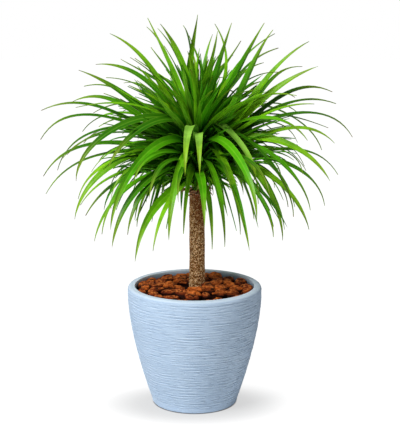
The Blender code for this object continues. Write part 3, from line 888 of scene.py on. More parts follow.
@dataclass
class ClayPot:
    """The turned pot, with fine combed ridges all over its wall and a smooth rolled lip."""

    columns: int = 240
    wall_rows: int = 352
    foot_round: float = 0.006
    lip_outer_round: float = 0.009
    lip_inner_round: float = 0.0018
    lip_inner_radius: float = 0.1350
    floor: float = 0.010
    combs: tuple[Comb, ...] = (
        Comb(0.0068, 0.90, 0.26, (20, 18), 54),
        Comb(0.0052, 0.72, 0.30, (26, 26), 66),
        Comb(0.0038, 0.75, 0.36, (40, 38), 84),
    )
    comb_depth: float = 0.00085
    comb_sharpness: float = 5.0
    comb_lip: float = 0.26
    combed_from: float = 0.006
    comb_full: tuple[float, float] = (0.014, 0.264)
    combed_to: float = 0.2728
    seed: int = 17

    def profile(self) -> list[tuple[float, float]]:
        """Work out the pot's outline, from the middle of its base up its wall and down to its floor.

        Returns:
            Radius and height of each point.
        """
        base = [(0.0005, 0.0), (0.05, 0.0)]
        foot_middle = (pot_radius(self.foot_round) - self.foot_round, self.foot_round)
        foot = arc(foot_middle, self.foot_round, -90, 0, 6)
        step = (POT_BELLY_HEIGHT - self.foot_round) / self.wall_rows
        levels = [self.foot_round + step * k for k in range(1, self.wall_rows + 1)]
        wall = [(pot_radius(z), z) for z in levels]
        neck = POT_HEIGHT - self.lip_outer_round
        steps = 12
        rise = neck - POT_BELLY_HEIGHT
        band = [(POT_BELLY_RADIUS, POT_BELLY_HEIGHT + rise * k / steps) for k in range(1, steps)]
        lip = arc((POT_BELLY_RADIUS - self.lip_outer_round, neck), self.lip_outer_round, 0, 90, 12)
        inner = (self.lip_inner_radius + self.lip_inner_round, POT_HEIGHT - self.lip_inner_round)
        rim = arc(inner, self.lip_inner_round, 90, 180, 6)
        heights = [0.266, 0.261, 0.256, 0.250, 0.20, 0.15, 0.10, 0.05, self.floor]
        inside = [(min(pot_radius(z) - POT_WALL, self.lip_inner_radius), z) for z in heights]
        return base + foot + wall + band + lip + rim + inside + [(0.05, self.floor), (0.0005, self.floor)]

    def relief(self, heights: np.ndarray) -> np.ndarray:
        """Work out how far the combed ridges stand out of the wall.

        Args:
            heights: The heights of the outline's points.

        Returns:
            Heights by row and column, from -1 to 1.
        """
        draw = np.random.default_rng(self.seed)
        up, turn = np.meshgrid(heights, np.arange(self.columns) / self.columns, indexing="ij")
        field = np.zeros(up.shape)
        for comb in self.combs:
            level = up / POT_HEIGHT
            phase = up / comb.pitch + comb.wobble * soft_field(draw, turn, level, comb.bends)
            strength = soft_field(draw, turn, level, (comb.breaks, round(POT_HEIGHT / comb.pitch)))
            groove = (0.5 - 0.5 * np.cos(2 * np.pi * phase)) ** self.comb_sharpness
            lip = (0.5 - 0.5 * np.cos(2 * np.pi * (phase + self.comb_lip))) ** self.comb_sharpness
            field += comb.share * (0.80 * lip - groove) * smooth(strength, -0.38, 0.38)
        return np.clip(field, -1.0, 1.0)

    def build(self, material: bpy.types.Material) -> bpy.types.Object:
        """Build the pot.

        Args:
            material: The clay's finish.

        Returns:
            The piece that stands for the pot.
        """
        outline = self.profile()
        heights = np.array([z for _, z in outline])
        radii = np.array([r for r, _ in outline])
        full_from, full_to = self.comb_full
        weight = smooth(heights, self.combed_from, full_from)
        weight *= 1 - smooth(heights, full_to, self.combed_to)
        inside = np.arange(len(outline)) > np.argmax(heights)
        weight[inside] = 0.0
        field = self.relief(heights) * weight[:, None]
        wide = radii[:, None] + (field - weight[:, None]) * self.comb_depth
        angle = 2 * np.pi * np.arange(self.columns) / self.columns
        rings = np.stack([wide * np.cos(angle), wide * np.sin(angle), heights[:, None] + 0 * wide], axis=-1)
        paint = np.ones((*rings.shape[:2], 4))
        paint[..., 0] = 0.5 + 0.5 * field
        # Paint for the painted shade inside the pot, fading out just below the rim.
        paint[..., 1] = (inside * (1 - smooth(heights, POT_HEIGHT - 0.018, POT_HEIGHT - 0.001)))[:, None]
        # Paint for the painted highlight on the lip band, strongest at its inner edge.
        edge = 1 - smooth(radii, self.lip_inner_radius + 0.001, self.lip_inner_radius + 0.004)
        lip = smooth(heights, self.combed_to - 0.004, self.combed_to)
        paint[..., 2] = (lip * (0.60 + 0.40 * edge))[:, None]
        shape = Shape("relief")
        shape.add_tube(rings, paint)
        return settle(shape.build("pot_shell", material), "pot")


@dataclass
class BarkMulch:
    """The layer of bark nuggets over the soil, with smaller pieces in the gaps and a bed below, painted
    near-black as shade.
    """

    at_wall: float = 0.258
    at_trunk: float = 0.274
    chip_count: int = 54
    chip_length: tuple[float, float] = (0.028, 0.044)
    chip_slimness: tuple[float, float] = (0.55, 0.80)
    chip_thickness: tuple[float, float] = (0.012, 0.016)
    chip_lift: tuple[float, float] = (-0.001, 0.003)
    chip_pitch: float = 0.12
    chip_lean: float = 0.18
    chip_sway: float = 0.3
    chip_room: tuple[float, float] = (0.025, 0.86)
    chip_tries: int = 30
    wall_band: float = 0.100
    chip_seed: int = 5
    chip_tip: float = 0.17
    chip_flatness: float = 0.86
    chip_mesh: tuple[int, int] = (17, 44)
    edge_round: float = 0.50
    crown_round: float = 0.90
    outline_wave: float = 0.24
    outline_flake: float = 0.10
    ridge_height: float = 0.22
    grain_height: float = 0.05
    furrows: float = 2.6
    furrow_depth: float = 0.030
    edge_gap: float = 0.0022
    small_count: int = 90
    small_spread: float = 0.62
    heap_radius: float = 0.075
    small_length: tuple[float, float] = (0.009, 0.019)
    small_mesh: tuple[int, int] = (8, 16)
    small_lift: float = -0.0045
    crumb_count: int = 90
    crumb_length: tuple[float, float] = (0.003, 0.007)
    crumb_mesh: tuple[int, int] = (5, 9)
    crumb_lift: float = -0.003
    small_seed: int = 31
    bed_mesh: tuple[int, int] = (96, 22)
    bed_drop: float = 0.0055
    bed_rough: float = 0.0022
    trunk_gap: float = 0.0008

    def height(self, radius: float) -> float:
        """Return the height of the mulch between its nuggets."""
        share = min(radius / LIP_INNER_RADIUS, 1.0)
        return self.at_trunk + (self.at_wall - self.at_trunk) * share**2

    def spread(self, draw: random.Random) -> list[tuple[Vector, float]]:
        """Choose the middle and heading of each large nugget, so that they cover the ring evenly.

        Args:
            draw: The seeded source of numbers.

        Returns:
            The middles and their angles round the pot.
        """
        limit = LIP_INNER_RADIUS - GAP
        spots: list[tuple[Vector, float]] = []
        for _ in range(self.chip_count):
            best, best_room = (Vector((0, 0)), 0.0), -1.0
            for _ in range(self.chip_tries):
                radius = limit * math.sqrt(draw.uniform(*self.chip_room))
                angle = draw.uniform(0, math.tau)
                spot = Vector((radius * math.cos(angle), radius * math.sin(angle)))
                room = min(((spot - other).length for other, _ in spots), default=1.0)
                if room > best_room:
                    best, best_room = (spot, angle), room
            spots.append(best)
        return spots

    def nugget(
        self,
        shape: Shape,
        middle: Vector,
        axes: tuple[Vector, Vector],
        size: tuple[float, float, float],
        tone: float,
        mesh: tuple[int, int],
    ) -> None:
        """Add one flat, flaky nugget with a round edge.

        Args:
            shape: The shape that it joins.
            middle: The nugget's middle.
            axes: Its long and its short direction.
            size: Its length, width and thickness.
            tone: 0 for a bright nugget, 1 for a dull one.
            mesh: Rows and columns of its surface.
        """
        along, across = axes
        up = along.cross(across).normalized()
        rows, columns = mesh
        limit = LIP_INNER_RADIUS - self.edge_gap
        seat = Vector((1000 * tone, 37 * tone, 11 * tone))
        rings = np.zeros((rows, columns, 3))
        paint = np.ones((rows, columns, 4))
        for i in range(rows):
            tilt = math.pi * (i / (rows - 1) - 0.5) * 0.98
            shrink = abs(math.cos(tilt)) ** self.edge_round
            lift = math.copysign(abs(math.sin(tilt)) ** self.crown_round, tilt)
            for k in range(columns):
                turn = math.tau * k / columns
                c, s = math.cos(turn), math.sin(turn)
                wave = 1 + self.outline_wave * noise.noise(Vector((1.5 * c, 1.5 * s, 0.4 * lift)) + seat)
                flake = self.outline_flake * noise.noise(Vector((4.5 * c, 4.5 * s, 3.0 * lift)) - seat)
                x = c * shrink * (wave + flake)
                y = s * shrink * (wave - flake)
                bend = 0.9 * noise.noise(Vector((1.6 * x, 1.6 * y, 0)) + seat)
                furrow = math.cos(math.pi * (self.furrows * y + bend + 0.5 * x * x)) * shrink
                ridge = 0.22 - abs(noise.noise(Vector((2.3 * x, 4.2 * y, 2 * lift)) + seat))
                grain = noise.noise(Vector((4 * x, 9 * y, 3 * lift)) + seat)
                rough = (self.ridge_height * ridge + self.grain_height * grain) * shrink
                place = 0.5 + 0.5 * y
                x, y = 0.5 * size[0] * x, 0.5 * size[1] * y
                height = size[2] * (0.5 * lift + self.furrow_depth * furrow + rough)
                point = middle + along * x + across * y + up * height
                far = math.hypot(point.x, point.y)
                hold = min(1.0, limit / far)
                rings[i, k] = (point.x * hold, point.y * hold, max(point.z, SOIL_TOP + 4 * GAP))
                # The level carries painted shade low on the nugget and a painted highlight on its top.
                level = 0.5 + (rings[i, k, 2] - middle.z) / size[2]
                paint[i, k] = (tone, min(max(level, 0.0), 1.0), place, 0.5 + 0.5 * furrow)
        shape.add_tube(rings, paint)

    def large_nuggets(self, shape: Shape) -> None:
        """Add the large nuggets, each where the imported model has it.

        Args:
            shape: The shape that they join.
        """
        draw = random.Random(self.chip_seed)
        tones = random.Random(self.chip_seed + 1)
        for spot, angle in self.spread(draw):
            length = draw.uniform(*self.chip_length)
            width = length * draw.uniform(*self.chip_slimness)
            thickness = draw.uniform(*self.chip_thickness)
            heading = draw.uniform(0, math.pi)
            if spot.length > self.wall_band:
                heading = angle + math.pi / 2 + draw.uniform(-self.chip_sway, self.chip_sway)
            c, s = math.cos(heading), math.sin(heading)
            along = Vector((c, s, draw.uniform(-self.chip_pitch, self.chip_pitch) + self.chip_tip * s))
            across = Vector((-s, c, draw.uniform(-self.chip_lean, self.chip_lean) + self.chip_tip * c))
            lift = draw.uniform(*self.chip_lift)
            middle = Vector((spot.x, spot.y, self.height(spot.length) + lift))
            size = (length, width, thickness * self.chip_flatness)
            self.nugget(shape, middle, (along, across), size, tones.random(), self.chip_mesh)

    def small_nuggets(self, shape: Shape) -> None:
        """Add the small nuggets and crumbs that fill the gaps.

        Args:
            shape: The shape that they join.
        """
        draw = random.Random(self.small_seed)
        kinds = (
            (self.small_count, self.small_length, self.small_mesh, self.small_lift),
            (self.crumb_count, self.crumb_length, self.crumb_mesh, self.crumb_lift),
        )
        for count, lengths, mesh, lift in kinds:
            for _ in range(count):
                length = draw.uniform(*lengths)
                share = draw.uniform(0.03, 1.0) ** self.small_spread
                radius = (LIP_INNER_RADIUS - 0.5 * length - GAP) * share
                angle, heading = draw.uniform(0, math.tau), draw.uniform(0, math.pi)
                c, s = math.cos(heading), math.sin(heading)
                along = Vector((c, s, draw.uniform(-0.4, 0.4)))
                across = Vector((-s, c, draw.uniform(-0.4, 0.4)))
                height = self.height(radius) + lift * min(1.0, radius / self.heap_radius)
                middle = Vector((radius * math.cos(angle), radius * math.sin(angle), height))
                size = (length, length * draw.uniform(0.5, 0.8), length * draw.uniform(0.35, 0.5))
                self.nugget(shape, middle, (along, across), size, draw.random(), mesh)

    def bed(self, material: bpy.types.Material) -> bpy.types.Object:
        """Build the bed between the nuggets, painted near-black as shade: a rough ring from the trunk's hole
        to the wall.

        Args:
            material: The bark's finish.

        Returns:
            The piece.
        """
        columns, steps = self.bed_mesh
        shares = [k / steps for k in range(steps + 1)]
        rows = [(share, True) for share in shares] + [(share, False) for share in reversed(shares)]
        rings = np.zeros((len(rows), columns, 3))
        paint = np.ones((len(rows), columns, 4))
        for i, (share, top) in enumerate(rows):
            for k in range(columns):
                turn = math.tau * k / columns
                c, s = math.cos(turn), math.sin(turn)
                hole, rim = TRUNK_FOOT_RADIUS + self.trunk_gap, LIP_INNER_RADIUS - GAP
                x = TRUNK_X * (1 - share) + c * (hole + (rim - hole) * share)
                y = s * (hole + (rim - hole) * share)
                rough = self.bed_rough * noise.noise(Vector((130 * x, 130 * y, 0)))
                z = self.height(math.hypot(x, y)) - self.bed_drop + rough if top else SOIL_TOP + GAP
                rings[i, k] = (x, y, z)
                # Level 0: the finish paints the bed near-black, as shade.
                paint[i, k] = (0.5, 0.0, 0.5, 0.5)
        shape = Shape("nugget")
        shape.add_tube(rings, paint, loop=True)
        return settle(shape.build("bark_bed", material), "bark_mulch")

    def build(self, material: bpy.types.Material) -> list[bpy.types.Object]:
        """Build the mulch.

        Args:
            material: The bark's finish.

        Returns:
            Its pieces.
        """
        shape = Shape("nugget")
        self.large_nuggets(shape)
        self.small_nuggets(shape)
        nuggets = settle(shape.build("bark_nuggets", material, 70.0), "bark_mulch")
        return [nuggets, self.bed(material)]


class Grains:
    """Scattered grains on the trunk's unrolled skin, read as the nearest two to each point."""

    def __init__(self, width: float, height: float, size: float, seed: int) -> None:
        """Scatter one grain in each cell of a grid that closes round the trunk.

        Args:
            width: Length round the trunk.
            height: Height of the skin.
            size: About how far apart grains are.
            seed: Seed of the scatter.
        """
        draw = np.random.default_rng(seed)
        self.columns, self.rows = max(4, round(width / size)), max(2, round(height / size))
        self.step = (width / self.columns, height / self.rows)
        shape = (self.rows + 2, self.columns)
        self.jitter = draw.uniform(0.12, 0.88, (*shape, 2))
        self.tone = draw.uniform(0.0, 1.0, shape)

    def read(self, x: np.ndarray, y: np.ndarray) -> tuple[np.ndarray, np.ndarray]:
        """Find the grain at each point.

        Args:
            x: Distances round the trunk.
            y: Heights.

        Returns:
            How far each point is inside its grain, from 0 at its edge, and the grain's tone.
        """
        u, v = x / self.step[0], y / self.step[1] + 1
        column, row = np.floor(u).astype(int), np.floor(v).astype(int)
        near = np.full(x.shape, 9.0)
        second = np.full(x.shape, 9.0)
        tone = np.zeros(x.shape)
        for down in (-1, 0, 1):
            for side in (-1, 0, 1):
                i, k = np.clip(row + down, 0, self.rows + 1), column + side
                spot = self.jitter[i, k % self.columns]
                far = np.hypot(k + spot[..., 0] - u, i + spot[..., 1] - v)
                closer = far < near
                second = np.where(closer, near, np.minimum(second, far))
                tone = np.where(closer, self.tone[i, k % self.columns], tone)
                near = np.where(closer, far, near)
        return second - near, tone


@dataclass
class BareTrunk:
    """The upright trunk with its granular bark, and the dried leaf bases round its top."""

    foot: float = 0.145
    fine_from: float = 0.256
    flare_top: float = 0.330
    lump: float = 0.0002
    lobes: tuple[tuple[int, float], ...] = ((3, 41.0), (2, -97.0))
    columns: int = 144
    fine_rows: int = 306
    grain_size: float = 0.0021
    grain_depth: float = 0.0010
    # Where the bark turns redder and darker: partly rust, partly painted shade under the head and on the side
    # away from the light.
    red_from: float = 0.400
    red_side: float = -20.0
    red_turn: float = 0.036
    seed: int = 3
    stub_count: int = 10
    stub_length: float = 0.019
    stub_width: float = 0.010
    stub_drop: float = 0.006
    stub_step: float = 0.004
    flake_count: int = 44
    flake_drop: tuple[float, float] = (0.004, 0.015)
    flake_length: tuple[float, float] = (0.006, 0.010)
    flake_width: tuple[float, float] = (0.006, 0.011)
    flake_seed: int = 9
    tufts: tuple[float, ...] = (196, 335, 80)
    tuft_count: int = 5
    tuft_length: tuple[float, float] = (0.022, 0.032)
    tuft_width: tuple[float, float] = (0.006, 0.009)
    tuft_rise: tuple[float, float] = (-0.002, 0.008)

    def radius(self, height: np.ndarray, angle: np.ndarray) -> np.ndarray:
        """Work out the trunk's smooth radius: flared at its foot and a little lumpy above.

        Args:
            height: Heights.
            angle: Angles round the trunk.

        Returns:
            The radius at each place.
        """
        flare = np.clip((self.flare_top - height) / (self.flare_top - POT_HEIGHT), 0.0, 1.0)
        lump = sum(np.sin(lobes * angle + speed * height) for lobes, speed in self.lobes)
        return TRUNK_RADIUS + (TRUNK_FOOT_RADIUS - TRUNK_RADIUS) * flare**1.5 + self.lump * lump * (1 - flare)

    def bark(self, material: bpy.types.Material) -> bpy.types.Object:
        """Build the trunk's skin.

        Args:
            material: The bark's finish.

        Returns:
            The piece.
        """
        fine = np.linspace(self.fine_from, TRUNK_TOP, self.fine_rows)
        heights = np.concatenate([[self.foot, 0.5 * (self.foot + self.fine_from)], fine])
        angle = 2 * np.pi * np.arange(self.columns) / self.columns
        z, a = np.meshgrid(heights, angle, indexing="ij")
        round_length = 2 * np.pi * TRUNK_RADIUS
        coarse = Grains(round_length, TRUNK_TOP, self.grain_size, self.seed)
        tiny = Grains(round_length, TRUNK_TOP, 0.55 * self.grain_size, self.seed + 1)
        inside, tone = coarse.read(a * TRUNK_RADIUS, z)
        tiny_inside, tiny_tone = tiny.read(a * TRUNK_RADIUS, z)
        body = smooth(inside, 0.02, 0.42) * (0.35 + 0.65 * tone) + 0.35 * smooth(tiny_inside, 0.0, 0.5)
        body = np.where(tone < 0.16, 0.1 + 0.2 * tiny_tone, body)
        shown = smooth(z, POT_HEIGHT - 0.016, POT_HEIGHT - 0.010)
        depth = (body - 1.0) * self.grain_depth * shown
        wide = self.radius(z, a) + depth
        rings = np.stack([TRUNK_X + wide * np.cos(a), wide * np.sin(a), z], axis=-1)
        paint = np.ones((*z.shape, 4))
        paint[..., 0] = np.clip(0.52 * tone + 0.48 * tiny_tone, 0, 1)
        paint[..., 1] = np.clip(body, 0, 1)
        # Share of red: partly rust, partly painted shade, high up and on the right side.
        turned = self.red_turn * np.cos(a - math.radians(self.red_side))
        paint[..., 2] = smooth(z + turned + 0.01 * (tone - 0.5), self.red_from, TRUNK_TOP)
        shape = Shape("bark")
        shape.add_tube(rings, paint)
        return settle(shape.build("trunk_bark", material, 80.0), "trunk")

    def scale(
        self,
        shape: Shape,
        azimuth: float,
        height: float,
        size: tuple[float, float],
        curl: float,
        tone: float,
    ) -> None:
        """Add one dried leaf base: a thin cupped scale that curls out from the trunk.

        Args:
            shape: The shape that it joins.
            azimuth: Where it stands round the trunk, in degrees.
            height: The height of its root.
            size: Its length and width.
            curl: Its rise over its length, as a share of it.
            tone: 0 for straw, 1 for brown.
        """
        a = math.radians(azimuth)
        out, side = Vector((math.cos(a), math.sin(a), 0)), Vector((-math.sin(a), math.cos(a), 0))
        root = Vector((TRUNK_X, 0, height)) + out * (TRUNK_RADIUS - 0.004)
        length, width = size
        stations = 9
        across = (-1.0, -0.5, 0.0, 0.5, 1.0, 0.5, 0.0, -0.5)
        rings = np.zeros((stations, len(across), 3))
        paint = np.ones((stations, len(across), 4))
        for i in range(stations):
            t = i / (stations - 1)
            middle = root + out * (length * t * (1 - 0.25 * t)) + Vector((0, 0, length * curl * t * t))
            half = 0.5 * width * (1.0 - 0.72 * t**2.2) * (1 + 0.12 * math.sin(9 * t + azimuth))
            thick = 0.0011 * (1.3 - 0.8 * t)
            for k, s in enumerate(across):
                drop = thick if k >= 5 else 0.0
                cup = 0.20 * width * s * s
                rings[i, k] = middle + side * (half * s) + Vector((0, 0, cup - drop))
                paint[i, k] = (tone, t, 0.5 + 0.5 * s, 1.0)
        shape.add_tube(rings, paint)

    def dried_bases(self, material: bpy.types.Material) -> bpy.types.Object:
        """Build the ring of dried leaf bases.

        Args:
            material: Their finish.

        Returns:
            The piece.
        """
        draw = random.Random(self.flake_seed)
        shape = Shape("blade")
        for k in range(self.stub_count):
            row = k % 3
            azimuth = 360 * k / self.stub_count + 17 * row
            height = TRUNK_TOP - self.stub_drop - self.stub_step * row
            self.scale(shape, azimuth, height, (self.stub_length, self.stub_width), 0.08, draw.random())
        for _ in range(self.flake_count):
            azimuth, height = draw.uniform(0, 360), TRUNK_TOP - draw.uniform(*self.flake_drop)
            size = (draw.uniform(*self.flake_length), draw.uniform(*self.flake_width))
            self.scale(shape, azimuth, height, size, draw.uniform(0.0, 0.4), draw.random())
        for azimuth in self.tufts:
            for _ in range(self.tuft_count):
                size = (draw.uniform(*self.tuft_length), draw.uniform(*self.tuft_width))
                height = TRUNK_TOP + draw.uniform(*self.tuft_rise)
                place, curl = azimuth + draw.uniform(-18, 18), draw.uniform(-0.4, 0.1)
                self.scale(shape, place, height, size, curl, draw.random())
        return settle(shape.build("dried_leaf_bases", material), "trunk")

    def build(self, bark: bpy.types.Material, dry: bpy.types.Material) -> list[bpy.types.Object]:
        """Build the trunk.

        Args:
            bark: The bark's finish.
            dry: The finish of the dried leaf bases.

        Returns:
            Its pieces.
        """
        return [self.bark(bark), self.dried_bases(dry)]


class Leaf(NamedTuple):
    """One leaf in its own upright plane through the trunk: millimetres and degrees."""

    azimuth: float  # 0 is the right, 90 the back, 180 the left and 270 the front
    reach: float  # from the trunk's axis out to the tip
    tip: float  # height of the tip
    rise: float  # upward slope where it leaves the stem
    fall: float  # downward slope at the tip
    turn: float  # roll of the blade about its midline
    bow: float = 0.0  # sideways bend at the middle
    breadth: float = 1.0  # width as a share of the crown's leaf width


UPRIGHT_LEAVES = (
    Leaf(180, -2, 880, 80, -100, -60),
    Leaf(184, 190, 840, 60, -25, -45),
    Leaf(150, 200, 775, 80, -25, 0),
    Leaf(195, 110, 875, 80, -65, 30),
    Leaf(150, 130, 850, 60, -35, 0),
    Leaf(225, 110, 865, 85, -45, 15),
    Leaf(135, 125, 845, 85, -35, 20),
    Leaf(120, 215, 795, 65, -30, 35),
    Leaf(100, 185, 845, 85, -5, 60),
    Leaf(0, -18, 835, 75, -115, 30),
    Leaf(0, 38, 860, 65, -125, 25),
    Leaf(285, 165, 855, 85, -65, 30),
    Leaf(300, 145, 870, 70, -60, 0),
    Leaf(50, 155, 815, 80, -45, -25),
    Leaf(345, 150, 865, 65, -60, -40),
    Leaf(325, 195, 855, 40, -50, -35),
    Leaf(20, 185, 835, 65, -25, 0),
    Leaf(12, 185, 805, 60, -15, 10),
)
LEFT_LEAVES = (
    Leaf(181, 260, 760, 40, -20, -55),
    Leaf(175, 225, 770, 60, 5, -35),
    Leaf(172, 255, 720, 35, 15, -10),
    Leaf(140, 180, 725, 45, -20, 20),
    Leaf(160, 225, 700, 35, -15, 0),
    Leaf(190, 275, 695, 35, 25, -40),
    Leaf(180, 345, 670, 30, 25, -20),
    Leaf(168, 265, 615, 45, 55, -10),
    Leaf(186, 345, 610, 35, 60, -15),
    Leaf(222, 250, 572, 66, 62, -35),
    Leaf(152, 300, 575, 25, 50, -5),
    Leaf(212, 300, 540, 65, 90, -40),
    Leaf(148, 270, 535, 15, 50, -5),
    Leaf(178, 345, 520, 20, 60, -25),
    Leaf(160, 345, 515, 35, 75, -20),
    Leaf(196, 270, 485, 25, 75, -20),
    Leaf(174, 345, 475, 15, 60, -15),
    Leaf(200, 270, 475, 10, 55, -10),
    Leaf(205, 290, 450, 30, 80, -45),
    Leaf(188, 250, 440, 10, 60, -20),
    Leaf(222, 270, 430, 25, 80, 0),
    Leaf(212, 155, 425, 20, 85, 0),
    Leaf(228, 220, 425, 10, 80, 0),
    Leaf(216, 270, 410, 5, 75, -5),
    Leaf(224, 250, 400, 10, 80, -20),
)
RIGHT_LEAVES = (
    Leaf(352, 245, 825, 40, -30, 50),
    Leaf(355, 265, 770, 40, -20, 60),
    Leaf(18, 250, 760, 20, 5, 20),
    Leaf(2, 300, 710, 30, 25, 25),
    Leaf(342, 265, 695, 35, 0, 25),
    Leaf(28, 255, 685, 0, 35, -20),
    Leaf(8, 315, 680, 30, 20, 15),
    Leaf(328, 275, 625, 45, 50, 20),
    Leaf(0, 345, 610, 35, 60, 15),
    Leaf(350, 305, 605, 25, 45, 30),
    Leaf(25, 320, 560, 75, 70, 10),
    Leaf(340, 305, 530, 40, 60, 45),
    Leaf(6, 320, 520, 10, 60, 10),
    Leaf(30, 290, 520, 40, 65, 15),
    Leaf(338, 265, 465, 45, 80, 15),
    Leaf(355, 285, 460, 20, 80, 20),
    Leaf(330, 240, 455, 60, 90, 0),
    Leaf(10, 210, 445, 15, 85, 20),
    Leaf(315, 230, 420, 10, 85, 0),
    Leaf(345, 255, 415, 20, 75, 30),
    Leaf(325, 225, 405, 30, 90, 15),
)
FRONT_LEAVES = (
    Leaf(266, 329, 580, 45, 90, 0, 0, 1.05),
    Leaf(271, 324, 580, 35, 90, 0, 0, 1.05),
    Leaf(320, 158, 528, 85, 118, 15),
    Leaf(294, 300, 480, 50, 90, 30),
    Leaf(273, 300, 470, 0, 75, 0),
    Leaf(310, 190, 455, 85, 80, -20),
    Leaf(232, 290, 450, 46, 85, -50),
    Leaf(262, 200, 435, 15, 85, -60),
    Leaf(255, 225, 425, 35, 90, -10),
    Leaf(276, 300, 425, 0, 85, -40),
    Leaf(300, 185, 425, 60, 90, -20),
    Leaf(284, 240, 415, 25, 90, -25),
    Leaf(250, 265, 410, -5, 65, 20),
    Leaf(296, 250, 405, 45, 70, 0),
    Leaf(244, 290, 390, -5, 75, -40),
)
CHOSEN_LEAVES = UPRIGHT_LEAVES + LEFT_LEAVES + RIGHT_LEAVES + FRONT_LEAVES
# Leaves with a painted sheen.
SHEEN_LEAVES = FRONT_LEAVES[:3]
# Leaves with painted shade.
SHADED_LEAVES = (LEFT_LEAVES[9], LEFT_LEAVES[11])


class Growth(NamedTuple):
    """What sets one kind of blade apart."""

    width: float  # share of a grown leaf's width
    channel: float  # depth of its channel
    stations: int  # places along it where it is drawn
    brightest: float  # its brightest tone
    root_high: float  # height of the steepest blade's root
    ripeness: float  # 1 has a grown leaf's olive tip
    fresher: float = 0.0  # added to every tone


class BladeKind(Enum):
    """How far a leaf has grown."""

    GROWN = Growth(1.0, 0.0022, 25, 0.86, 0.622, 1.0)
    MIDDLE = Growth(0.80, 0.0024, 17, 0.94, 0.622, 0.72)
    INNER = Growth(0.68, 0.0026, 15, 0.66, 0.592, 0.72)
    YOUNG = Growth(0.55, 0.0042, 15, 0.7, 0.640, 0.80, 0.15)
    SKIRT = Growth(0.42, 0.0026, 11, 0.66, 0.560, 0.95, 0.22)
    SHOOT = Growth(0.34, 0.0030, 9, 0.36, 0.560, 0.90)


